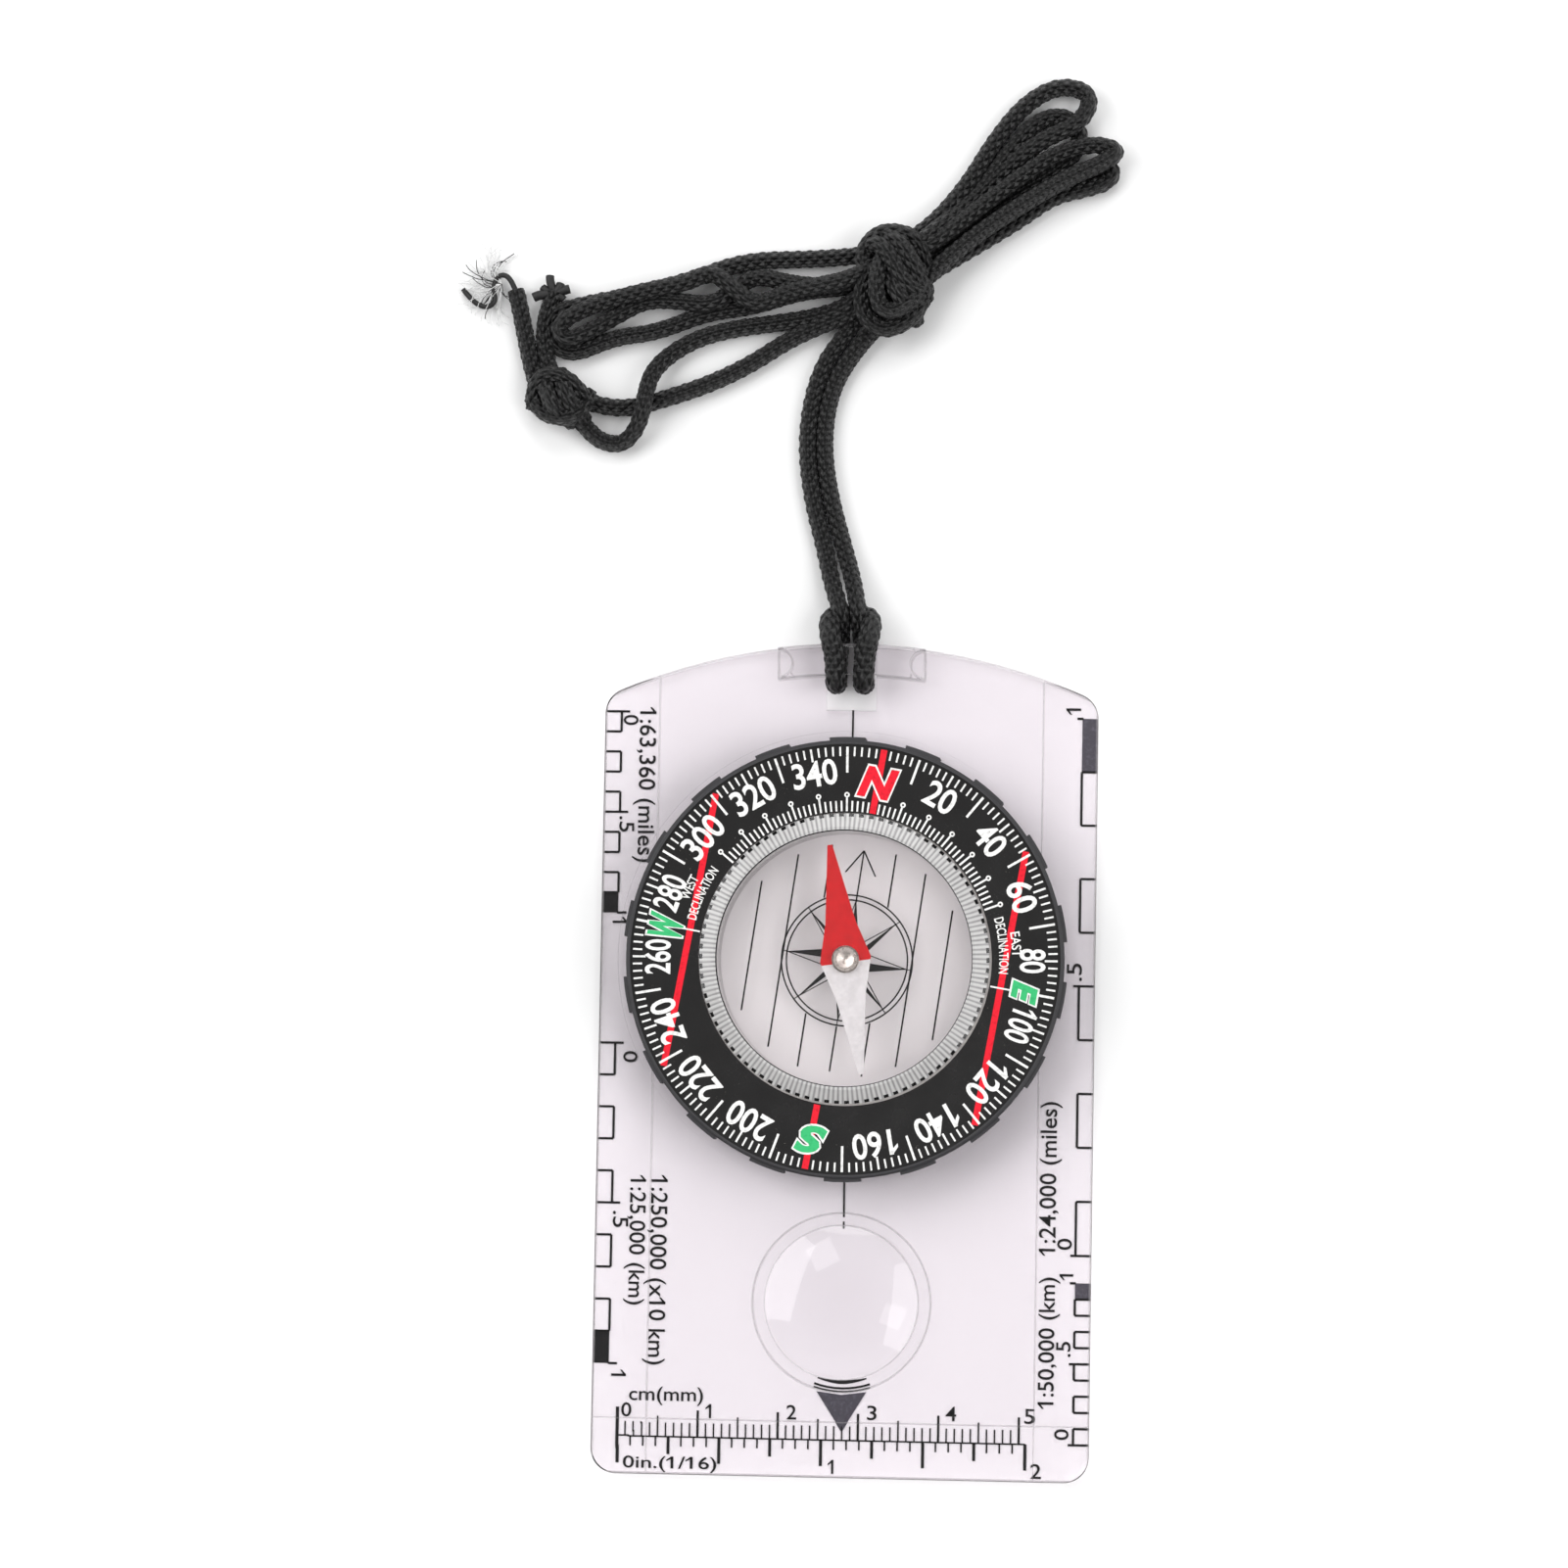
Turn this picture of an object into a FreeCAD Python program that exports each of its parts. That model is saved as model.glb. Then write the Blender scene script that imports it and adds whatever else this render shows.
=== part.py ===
import FreeCAD, Part
import math
import os

# Baseplate compass with a turning bezel, a capsule set for declination and a knotted neck cord.
# Millimetres. The plate lies on z = 0 with its long way along Y and the cord at the +Y end.
# The origin is the middle of the plate's underside.

os.makedirs("parts", exist_ok=True)
V = FreeCAD.Vector
UP = V(0, 0, 1)
CENTRE = V(0, 0, 0)

# Baseplate
plate_length = 104.0
plate_side_margin = 2.3
plate_thickness = 2.3
plate_edge_thickness = 1.5
bevel_width = 6.9
top_edge_radius = 73.0
plate_corner_radius = 3.2
plate_edge_round = 0.3
arch_edge_round = 0.5

# Magnifier moulded in the plate
lens_dial_margin = 2.8
lens_radius = 9.55
lens_rise = 1.7
lens_moat_width = 1.55
lens_moat_depth = 0.3

# Cord slot, and the raised bar that the cord goes round
slot_width = 6.3
slot_length = 4.4
slot_dial_margin = 2.7
bar_width = 3.9
bar_length = 18.6
bar_thickness = 1.5
bar_cord_play = 0.2
bar_round = 0.5
bar_underside_chamfer = 0.4
bar_notch_depth = 0.7
bar_notch_wall = 0.2

# Bezel, turning in the plate
bezel_turn = -9.8
hub_wall = 1.5
turning_clearance = 0.1
axial_clearance = 0.1
seat_ring_margin = 1.5
seat_ring_height = 0.6
bezel_flange = 5.3
bezel_rim_width = 0.6
bezel_height = 4.9
face_drop = 0.2
face_slope_drop = 0.5
bezel_lip_width = 2.1
bezel_lip_thickness = 1.7
bezel_edge_chamfer = 0.25
grip_count = 18
grip_span = 9.4
grip_rise = 0.4
grip_end_margin = 0.4

# Ring under the plate that holds the bezel and the capsule
retainer_thickness = 0.65
retainer_lift = 0.25
retainer_flange = 2.5
retainer_recess_clearance = 0.2
retainer_lip = 1.4

# Capsule, turning in the bezel
capsule_turn = -8.0
capsule_radius = 20.3
capsule_wall = 4.5
capsule_neck_clearance = 0.25
capsule_floor_z = 0.3
capsule_floor_thickness = 1.5
capsule_joint_z = 3.6
capsule_flange_thickness = 0.8
capsule_rise = 2.1
capsule_window_thickness = 0.9
rib_count = 90
rib_rise = 0.25
rib_zone_width = 1.7
rib_zone_drop = 0.9
plug_radius = 0.6
plug_inset = 0.2
plug_angle = 225.0

# Needle and its bearing
needle_turn = 8.8
needle_end_gap = 1.4
needle_thickness = 0.35
needle_half_width = 3.2
needle_waist_half_width = 1.9
needle_waist_y = 4.6
needle_tip_half_width = 0.3
needle_floor_gap = 3.2
cap_radius = 1.7
cap_height = 0.8
cap_cone_radius = 1.05
cap_cone_depth = 0.35
cap_cone_wall = 0.1
cap_edge_chamfer = 0.2
stem_radius = 1.2
flange_radius = 2.9
flange_thickness = 0.3
jewel_radius = 0.75
jewel_height = 0.7
jewel_cup_radius = 0.45
jewel_cup_depth = 0.4
pin_radius = 0.35
pin_tip_radius = 0.08
pin_point_length = 1.2
pin_tip_clearance = 0.02
pin_boss_radius = 1.5
pin_boss_height = 0.9
pin_seat_depth = 0.8

# Cord
cord_diameter = 2.0
cord_lift = 0.05
bar_gap = 0.15
hank_height = 4.6
hank_round = 1.0
main_knot_centre = (4.3, 97.8)
main_knot_size = (11.0, 15.0, 7.8)
end_knot_centre = (-37.6, 83.1)
end_knot_size = (9.2, 8.0, 5.6)
knot_flat = 0.4

# How far a cutter reaches past the face it cuts, and how far fused pieces overlap
past = 1.0
sunk = 0.2

# Sizes that follow from the ones above
top_y = plate_length / 2
bar_inner_y = top_y - bar_width
slot_end_y = bar_inner_y - slot_length
bar_underside = cord_diameter + bar_cord_play
bar_top = bar_underside + bar_thickness
capsule_bore = capsule_radius + turning_clearance
hub_radius = capsule_bore + hub_wall
bezel_radius = hub_radius + bezel_flange
bezel_window_radius = capsule_radius - bezel_lip_width
seat_ring_radius = bezel_radius + seat_ring_margin
plate_width = 2 * (seat_ring_radius + plate_side_margin)
dial_y = slot_end_y - slot_dial_margin - seat_ring_radius
lens_moat_radius = lens_radius + lens_moat_width
lens_y = dial_y - seat_ring_radius - lens_dial_margin - lens_moat_radius
hole_radius = hub_radius + turning_clearance
seat_top = plate_thickness + seat_ring_height
retainer_top = retainer_lift + retainer_thickness
retainer_outer = hub_radius + retainer_flange
recess_depth = retainer_top + axial_clearance
recess_radius = retainer_outer + retainer_recess_clearance
bezel_bottom = seat_top + axial_clearance
bezel_top = bezel_bottom + bezel_height
face_outer_radius = bezel_radius - bezel_rim_width
face_outer_z = bezel_top - face_drop
face_inner_z = face_outer_z - face_slope_drop
lip_underside = face_inner_z - bezel_lip_thickness
capsule_neck_radius = bezel_window_radius - capsule_neck_clearance
capsule_top = bezel_top + capsule_rise
capsule_flange_z = retainer_top + axial_clearance
capsule_floor_top = capsule_floor_z + capsule_floor_thickness
capsule_inner = capsule_radius - capsule_wall
capsule_flange_top = capsule_joint_z + capsule_flange_thickness
plug_z = (capsule_floor_top + capsule_joint_z) / 2
floor_radius = capsule_bore - retainer_lip - turning_clearance
needle_length = 2 * (capsule_inner - needle_end_gap)
needle_z = capsule_floor_top + needle_floor_gap
cap_z = needle_z + needle_thickness
cord_radius = cord_diameter / 2
rest_z = cord_radius + cord_lift
over_bar_z = bar_top + cord_radius + bar_gap
under_bar_z = bar_underside - cord_radius - bar_gap
slot_turn_y = bar_inner_y - cord_radius - bar_gap


def disc(radius, low, high, x=0.0, y=0.0):
    """Upright cylinder between two heights."""
    return Part.makeCylinder(radius, high - low, V(x, y, low), UP)


def ring(outer, inner, low, high):
    """Upright ring between two heights."""
    return disc(outer, low, high).cut(disc(inner, low - past, high + past))


def turned(profile):
    """Solid turned about Z from a closed outline of (radius, z) points."""
    points = [V(radius, 0, z) for radius, z in profile]
    return Part.Face(Part.makePolygon(points + points[:1])).revolve(CENTRE, UP, 360)


def box(x0, x1, y0, y1, z0, z1):
    """Box between two corners."""
    return Part.makeBox(x1 - x0, y1 - y0, z1 - z0, V(x0, y0, z0))


def drawn(points, along):
    """Solid drawn from a closed outline of points along a vector."""
    return Part.Face(Part.makePolygon(points + points[:1])).extrude(along)


def sector(outer, inner, span, low, high):
    """Piece of an upright ring that spans an angle in degrees, its middle on +X."""
    block = Part.makeCylinder(outer, high - low, V(0, 0, low), UP, span)
    block.rotate(CENTRE, UP, -span / 2)
    return block.cut(disc(inner, low - past, high + past))


def at_dial(shape, turn=0.0):
    """Shape turned about the dial's axis and moved onto it."""
    shape.rotate(CENTRE, UP, turn)
    shape.translate(V(0, dial_y, 0))
    return shape


def rounded(shape, chosen, radius):
    """Shape with its chosen edges rounded."""
    return shape.makeFillet(radius, [edge for edge in shape.Edges if chosen(edge.BoundBox)])


def save(name, shape):
    """Writes one sub-part, which is a single sound solid."""
    shape = shape.removeSplitter()
    if len(shape.Solids) != 1 or not shape.isValid():
        raise ValueError(f"{name}: {len(shape.Solids)} solids, valid: {shape.isValid()}")
    shape.Solids[0].exportStep(f"parts/{name}.step")
    print(f"{name}: {shape.Volume:.1f} mm3")


# ---------------------------------------------------------------- baseplate


def plate_blank():
    """Plate with an arched end, rounded corners and a long bevel on three sides."""
    half = plate_width / 2
    blank = box(-half, half, -top_y, top_y, 0, plate_thickness)
    arch = disc(top_edge_radius, 0, plate_thickness, 0, top_y - top_edge_radius)
    blank = blank.common(arch.fuse(box(-half, half, -top_y, 0, 0, plate_thickness))).removeSplitter()
    blank = rounded(blank, lambda b: b.ZLength > 1 and abs(abs(b.XMin) - half) < 0.01, plate_corner_radius)
    blank = rounded(blank, lambda b: b.ZMax < 0.01, plate_edge_round)
    blank = rounded(blank, lambda b: b.ZMin > plate_thickness - 0.01, arch_edge_round)
    edge_z = plate_edge_thickness - past * (plate_thickness - plate_edge_thickness) / bevel_width
    wedge = [(-bevel_width, plate_thickness), (past, edge_z), (past, plate_thickness + past),
             (-bevel_width, plate_thickness + past)]
    for side in (-1, 1):
        points = [V(side * (half + out), -top_y - past, z) for out, z in wedge]
        blank = blank.cut(drawn(points, V(0, plate_length + 2 * past, 0)))
    points = [V(-half - past, -top_y - out, z) for out, z in wedge]
    return blank.cut(drawn(points, V(plate_width + 2 * past, 0, 0)))


def cord_bar():
    """Raised bar along the arched end, with a D-shaped notch at each end."""
    span = math.degrees(bar_length / top_edge_radius)
    bar = sector(top_edge_radius, top_edge_radius - bar_width, span, plate_thickness - sunk, bar_top)
    bar = rounded(bar, lambda b: b.ZMin > bar_top - 0.01, bar_round)
    middle = top_edge_radius - bar_width / 2
    for side in (-1, 1):
        end = math.radians(side * span / 2)
        bar = bar.cut(disc(bar_width / 2 - bar_notch_wall, bar_top - bar_notch_depth, bar_top + past,
                           middle * math.cos(end), middle * math.sin(end)))
    bar.rotate(CENTRE, UP, 90)
    bar.translate(V(0, top_y - top_edge_radius, 0))
    return bar


def magnifier():
    """Plano-convex dome that stands on the plate."""
    sphere_radius = (lens_radius ** 2 + lens_rise ** 2) / (2 * lens_rise)
    ball = Part.makeSphere(sphere_radius, V(0, 0, plate_thickness + lens_rise - sphere_radius))
    foot = plate_thickness - lens_moat_depth - sunk
    dome = ball.common(disc(lens_radius, foot, plate_thickness + lens_rise + past))
    dome = dome.fuse(disc(lens_radius, foot, plate_thickness))
    dome.translate(V(0, lens_y, 0))
    return dome


def baseplate():
    plate = plate_blank().fuse(cord_bar())
    plate = plate.cut(box(-slot_width / 2, slot_width / 2, slot_end_y, bar_inner_y, -past, bar_top + past))
    plate = plate.cut(box(-slot_width / 2, slot_width / 2, slot_end_y, top_y + past, -past, bar_underside))
    corner = [V(-slot_width / 2, bar_inner_y, bar_underside),
              V(-slot_width / 2, bar_inner_y + bar_underside_chamfer, bar_underside),
              V(-slot_width / 2, bar_inner_y, bar_underside + bar_underside_chamfer)]
    plate = plate.cut(drawn(corner, V(slot_width, 0, 0)))
    moat = disc(lens_moat_radius, plate_thickness - lens_moat_depth, plate_thickness + past, 0, lens_y)
    plate = plate.cut(moat).fuse(magnifier())
    seat = at_dial(disc(seat_ring_radius, plate_edge_thickness - sunk, seat_top))
    plate = plate.fuse(seat)
    plate = plate.cut(at_dial(disc(hole_radius, -past, seat_top + past)))
    return plate.cut(at_dial(disc(recess_radius, -past, recess_depth)))


# -------------------------------------------------------------------- bezel


def bezel():
    """Graduated ring: a hub down through the plate, and a flange with finger grips above it."""
    body = turned([
        (capsule_bore, retainer_top),
        (hub_radius, retainer_top),
        (hub_radius, bezel_bottom),
        (bezel_radius - bezel_edge_chamfer, bezel_bottom),
        (bezel_radius, bezel_bottom + bezel_edge_chamfer),
        (bezel_radius, bezel_top - bezel_edge_chamfer),
        (bezel_radius - bezel_edge_chamfer, bezel_top),
        (face_outer_radius, bezel_top),
        (face_outer_radius, face_outer_z),
        (bezel_window_radius, face_inner_z),
        (bezel_window_radius, lip_underside),
        (capsule_bore, lip_underside),
    ])
    pitch = 360 / grip_count
    for number in range(grip_count):
        grip = sector(bezel_radius + grip_rise, face_outer_radius + bezel_edge_chamfer, grip_span,
                      bezel_bottom + grip_end_margin, bezel_top - grip_end_margin)
        grip.rotate(CENTRE, UP, 90 + pitch * (number + 0.5))
        body = body.fuse(grip)
    return at_dial(body, bezel_turn)


def retaining_ring():
    """Flat ring bonded to the hub's end, under the plate's lip and under the capsule's flange."""
    return at_dial(ring(retainer_outer, capsule_bore - retainer_lip, retainer_lift, retainer_top))


# ------------------------------------------------------------------ capsule


def filler_plug():
    """Pin that closes the filling hole through the capsule's wall."""
    plug = Part.makeCylinder(plug_radius, capsule_wall, V(capsule_inner, 0, plug_z), V(1, 0, 0))
    plug = plug.common(ring(capsule_radius, capsule_inner + plug_inset, 0, capsule_joint_z))
    return at_dial(plug, plug_angle)


def capsule_base():
    """Dish with the pin's boss in its floor."""
    dish = turned([
        (0, capsule_floor_z),
        (floor_radius, capsule_floor_z),
        (floor_radius, capsule_flange_z),
        (capsule_radius, capsule_flange_z),
        (capsule_radius, capsule_joint_z),
        (capsule_inner, capsule_joint_z),
        (capsule_inner, capsule_floor_top),
        (0, capsule_floor_top),
    ])
    dish = dish.fuse(disc(pin_boss_radius, capsule_floor_top - sunk, capsule_floor_top + pin_boss_height))
    pin_foot = capsule_floor_top + pin_boss_height - pin_seat_depth
    dish = dish.cut(disc(pin_radius, pin_foot, pin_foot + pin_seat_depth + past))
    hole = Part.makeCylinder(plug_radius, capsule_wall + 2 * past, V(capsule_inner - past, 0, plug_z), V(1, 0, 0))
    hole.rotate(CENTRE, UP, plug_angle)
    return at_dial(dish.cut(hole))


def capsule_cover():
    """Clear cover: a flange on the base's wall, a neck through the bezel and a ribbed shoulder."""
    shoulder_radius = capsule_neck_radius - rib_zone_width
    shoulder_z = capsule_top - rib_zone_drop
    window_underside = capsule_top - capsule_window_thickness
    cover = turned([
        (0, window_underside),
        (capsule_inner, window_underside),
        (capsule_inner, capsule_joint_z),
        (capsule_radius, capsule_joint_z),
        (capsule_radius, capsule_flange_top),
        (capsule_neck_radius, capsule_flange_top),
        (capsule_neck_radius, shoulder_z),
        (shoulder_radius, capsule_top),
        (0, capsule_top),
    ])
    rib_pitch = 360 / rib_count
    groove = V(0, 0, rib_rise)
    slope = [V(capsule_neck_radius + past, 0, shoulder_z - past * rib_zone_drop / rib_zone_width),
             V(shoulder_radius, 0, capsule_top)]
    half_width = math.radians(rib_pitch / 4) * capsule_neck_radius
    side = V(0, half_width, 0)
    cutter = drawn([slope[0] + side + groove, slope[1] + groove + side, slope[1] + groove - side,
                    slope[0] + groove - side], V(0, 0, -2 * rib_rise))
    cutters = []
    for number in range(rib_count):
        copy = cutter.copy()
        copy.rotate(CENTRE, UP, rib_pitch * number)
        cutters.append(copy)
    return at_dial(cover.cut(Part.makeCompound(cutters)), capsule_turn)


def friction_ring():
    """Soft washer round the capsule's neck that rubs under the bezel's lip and holds the setting."""
    return at_dial(ring(capsule_radius - turning_clearance, capsule_neck_radius, capsule_flange_top,
                        lip_underside - axial_clearance / 2))


def pivot_pin():
    """Pointed steel pin in the capsule's floor."""
    foot = capsule_floor_top + pin_boss_height - pin_seat_depth
    tip = cap_z + cap_height - cap_cone_depth - jewel_height + jewel_cup_depth - pin_tip_clearance
    return at_dial(turned([
        (0, foot),
        (pin_radius, foot),
        (pin_radius, tip - pin_point_length),
        (pin_tip_radius, tip),
        (0, tip),
    ]))


# ------------------------------------------------------------------- needle


def needle():
    """Flat needle, widest at its hub and drawn in to the two tips."""
    half = needle_length / 2
    quarter = [
        (needle_tip_half_width, half),
        (needle_waist_half_width, needle_waist_y),
        (needle_half_width, 0.0),
        (needle_waist_half_width, -needle_waist_y),
        (needle_tip_half_width, -half),
    ]
    points = [V(x, y, needle_z) for x, y in quarter] + [V(-x, y, needle_z) for x, y in reversed(quarter)]
    blade = drawn(points, V(0, 0, needle_thickness)).cut(disc(stem_radius, needle_z - past, needle_z + past))
    return at_dial(blade, needle_turn)


def needle_cap():
    """Turned hub: a flange under the needle, a stem through it and a cap with a conical dimple."""
    top = cap_z + cap_height
    low = needle_z - flange_thickness
    bore_top = top - cap_cone_depth
    return at_dial(turned([
        (jewel_radius, low),
        (flange_radius, low),
        (flange_radius, needle_z),
        (stem_radius, needle_z),
        (stem_radius, cap_z),
        (cap_radius, cap_z),
        (cap_radius, top - cap_edge_chamfer),
        (cap_radius - cap_edge_chamfer, top),
        (cap_cone_radius, top),
        (0, bore_top + cap_cone_wall),
        (0, bore_top),
        (jewel_radius, bore_top),
    ]))


def jewel():
    """Cup bearing in the hub that sits on the pin's point."""
    top = cap_z + cap_height - cap_cone_depth
    return at_dial(turned([
        (jewel_cup_radius, top - jewel_height),
        (jewel_radius, top - jewel_height),
        (jewel_radius, top),
        (0, top),
        (0, top - jewel_height + jewel_cup_depth),
        (pin_tip_radius, top - jewel_height + jewel_cup_depth),
    ]))


# --------------------------------------------------------------------- cord


def route_of(points):
    """Wire of straight runs joined by tangent arcs, and the arcs' radii."""
    corners = [V(*point) for point in points]
    edges = []
    radii = []
    start = corners[0]
    for before, corner, after in zip(corners, corners[1:], corners[2:]):
        half_turn = (corner - before).getAngle(after - corner) / 2
        reach = 0.45 * min((corner - before).Length, (after - corner).Length)
        into = (corner - before).normalize()
        out = (after - corner).normalize()
        radius = reach / math.tan(half_turn)
        middle = corner + (out - into).normalize() * (radius / math.cos(half_turn) - radius)
        arc_start = corner - into * reach
        arc_end = corner + out * reach
        edges.append(Part.LineSegment(start, arc_start).toShape())
        edges.append(Part.Arc(arc_start, middle, arc_end).toShape())
        radii.append(radius)
        start = arc_end
    edges.append(Part.LineSegment(start, corners[-1]).toShape())
    return Part.Wire(edges), radii


def cord_tube(name, points):
    """Round cord along a route."""
    wire, radii = route_of(points)
    along = V(*points[1]) - V(*points[0])
    section = Part.Wire(Part.Circle(V(*points[0]), along, cord_radius).toShape())
    tube = wire.makePipeShell([section], True, False)
    ideal = math.pi * cord_radius ** 2 * wire.Length
    print(f"{name}: length {wire.Length:.1f}, volume ratio {tube.Volume / ideal:.3f}, radii",
          " ".join(f"{radius:.1f}" for radius in radii))
    return tube


def knot(centre, size):
    """Rounded lump that a tight knot fills, flat where it lies."""
    ball = Part.makeSphere(1.0)
    matrix = FreeCAD.Matrix()
    matrix.scale(size[0] / 2, size[1] / 2, size[2] / 2 + knot_flat / 2)
    lump = ball.transformGeometry(matrix)
    lump.translate(V(centre[0], centre[1], size[2] / 2 - knot_flat / 2))
    wide = max(size)
    return lump.common(box(centre[0] - wide, centre[0] + wide, centre[1] - wide, centre[1] + wide, 0, wide))


def hank(outline):
    """Flat bundle of strands lying side by side, on an outline of (x, y) points."""
    points = [V(x, y, 0) for x, y in outline]
    slab = drawn(points, V(0, 0, hank_height))
    return rounded(slab, lambda b: b.ZLength > hank_height / 2, hank_round)


def trimmed(shape, *others):
    """Largest piece of a shape that is left clear of the others."""
    for other in others:
        shape = shape.cut(other)
    return max(shape.Solids, key=lambda solid: solid.Volume)


# Hitch: down over the bar, up through the slot, out under the bar and round beneath both strands.
hitch_route = [
    (-2.95, 60.0, 1.9),
    (-2.35, 56.2, 3.15),
    (-1.65, 51.9, over_bar_z + 0.1),
    (-1.55, slot_turn_y, over_bar_z),
    (-1.55, slot_turn_y, under_bar_z),
    (-1.6, 52.4, under_bar_z),
    (-3.4, 53.8, rest_z),
    (-2.9, 55.3, rest_z),
    (-0.9, 55.75, rest_z),
    (1.1, 55.35, rest_z),
    (1.9, 53.9, rest_z),
    (1.45, 52.4, under_bar_z),
    (1.45, slot_turn_y, under_bar_z),
    (1.45, slot_turn_y, over_bar_z),
    (1.4, 51.9, over_bar_z + 0.1),
    (0.75, 56.2, 3.15),
    (0.05, 60.0, 1.9),
]
left_strand_route = [
    (-2.95, 60.0, 1.9),
    (-3.9, 64.4, rest_z),
    (-5.4, 70.4, rest_z),
    (-6.2, 76.8, rest_z),
    (-5.8, 82.6, rest_z),
    (-4.4, 87.6, rest_z),
    (-1.7, 91.4, rest_z),
    (0.0, 94.0, 1.8),
]
right_strand_route = [
    (0.05, 60.0, 1.9),
    (-1.0, 64.4, rest_z),
    (-2.5, 70.2, rest_z),
    (-3.55, 75.8, rest_z),
    (-3.55, 80.8, rest_z),
    (-2.7, 85.0, rest_z),
    (-0.9, 88.7, rest_z),
    (2.0, 92.4, 2.0),
]
# The two ends leave the hank's underside; the first crosses over the second near the end knot.
looped_end_route = [
    (-15.5, 93.0, rest_z),
    (-19.6, 91.4, rest_z),
    (-23.1, 89.3, rest_z),
    (-25.5, 86.6, 2.2),
    (-26.45, 83.9, 3.3),
    (-26.75, 81.0, 3.3),
    (-27.7, 78.4, 2.1),
    (-29.7, 76.9, rest_z),
    (-32.4, 77.4, rest_z),
    (-34.6, 79.6, 1.5),
    (-35.6, 81.4, 2.0),
]
straight_end_route = [
    (-4.5, 94.2, rest_z),
    (-8.8, 90.9, rest_z),
    (-13.4, 87.6, rest_z),
    (-18.8, 84.9, rest_z),
    (-24.4, 82.9, rest_z),
    (-29.4, 81.5, rest_z),
    (-34.0, 82.4, 1.5),
]
frayed_tail_route = [
    (-40.6, 84.4, 2.0),
    (-41.9, 88.0, rest_z),
    (-42.6, 91.7, rest_z),
    (-43.3, 95.2, rest_z),
    (-44.1, 97.6, rest_z),
]
cut_tail_route = [
    (-38.2, 84.8, 2.2),
    (-39.4, 88.5, rest_z),
    (-39.9, 92.2, rest_z),
    (-39.4, 95.4, rest_z),
    (-38.4, 97.4, rest_z),
]
right_hank_outline = [
    (6.5, 104.0), (13.4, 116.0), (19.0, 122.8), (24.0, 124.9), (28.8, 123.4), (30.6, 117.0),
    (33.4, 115.6), (33.4, 111.2), (25.6, 107.5), (16.2, 101.2), (8.0, 96.8),
]
left_hank_outline = [
    (2.0, 102.5), (-14.6, 102.3), (-21.5, 99.5), (-28.8, 97.4), (-37.9, 95.6), (-38.6, 91.5),
    (-37.9, 87.0), (-26.5, 88.8), (-16.0, 91.4), (-8.0, 92.9), (2.0, 93.9),
]


main_knot = knot(main_knot_centre, main_knot_size)
end_knot = knot(end_knot_centre, end_knot_size)
right_hank = trimmed(hank(right_hank_outline), main_knot)
left_hank = trimmed(hank(left_hank_outline), main_knot, end_knot)
hitch = cord_tube("lanyard_hitch", hitch_route)
cord_parts = {
    "lanyard_strand_left": (left_strand_route, (hitch, main_knot, left_hank)),
    "lanyard_strand_right": (right_strand_route, (hitch, main_knot, left_hank)),
    "lanyard_end_looped": (looped_end_route, (left_hank, end_knot)),
    "lanyard_end_straight": (straight_end_route, (left_hank, main_knot, end_knot)),
    "lanyard_tail_frayed": (frayed_tail_route, (end_knot, left_hank)),
    "lanyard_tail_cut": (cut_tail_route, (end_knot, left_hank)),
}

save("baseplate", baseplate())
save("bezel", bezel())
save("retaining_ring", retaining_ring())
save("capsule_base", capsule_base())
save("capsule_cover", capsule_cover())
save("friction_ring", friction_ring())
save("filler_plug", filler_plug())
save("pivot_pin", pivot_pin())
save("needle", needle())
save("needle_cap", needle_cap())
save("jewel_bearing", jewel())
save("lanyard_hitch", hitch)
save("lanyard_main_knot", main_knot)
save("lanyard_end_knot", end_knot)
save("lanyard_hank_right", right_hank)
save("lanyard_hank_left", left_hank)
for cord_name, (cord_route, neighbours) in cord_parts.items():
    save(cord_name, trimmed(cord_tube(cord_name, cord_route), *neighbours))
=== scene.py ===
"""Looks of a baseplate compass: inks, plastics, metals, neck cord, light and camera, round the CAD frame."""

import math
import random

import bpy
from mathutils import Matrix, Vector


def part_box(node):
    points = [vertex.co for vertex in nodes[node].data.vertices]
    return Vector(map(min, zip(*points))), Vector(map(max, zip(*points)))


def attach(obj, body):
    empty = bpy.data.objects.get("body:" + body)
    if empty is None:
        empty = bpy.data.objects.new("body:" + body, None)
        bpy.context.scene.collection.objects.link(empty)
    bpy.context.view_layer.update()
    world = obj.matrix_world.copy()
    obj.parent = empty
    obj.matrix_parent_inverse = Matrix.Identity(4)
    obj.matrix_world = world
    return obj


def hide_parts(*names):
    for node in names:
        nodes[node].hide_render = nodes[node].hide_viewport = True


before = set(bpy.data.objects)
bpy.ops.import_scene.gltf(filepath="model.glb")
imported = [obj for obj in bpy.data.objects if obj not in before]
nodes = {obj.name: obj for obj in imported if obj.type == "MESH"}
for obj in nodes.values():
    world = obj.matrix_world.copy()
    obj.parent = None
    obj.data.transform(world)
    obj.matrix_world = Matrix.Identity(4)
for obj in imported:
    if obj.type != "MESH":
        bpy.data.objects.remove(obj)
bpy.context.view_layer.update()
mm = 0.001


# Places and sizes read from the frame, in millimetres

def box_mm(node):
    """Lowest and highest corner of a CAD node, in millimetres."""
    low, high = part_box(node)
    return low / mm, high / mm


dial_y = (box_mm("retaining_ring")[0].y + box_mm("retaining_ring")[1].y) / 2
capsule_floor_top = 1.8

# The plate's half width and half length, its bevels and the lens moulded in it
plate_side = 31.0
plate_end = 52.0
bevel_width = 6.9
lens_y = -30.3
lens_radius = 9.55
lens_moat_radius = 11.1

# Arched end, and the bar along it with its two round notches
arch_radius = 73.0
bar_width = 3.9
bar_half = 9.2
notch_y = 49.5
notch_radius = 1.75

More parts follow.
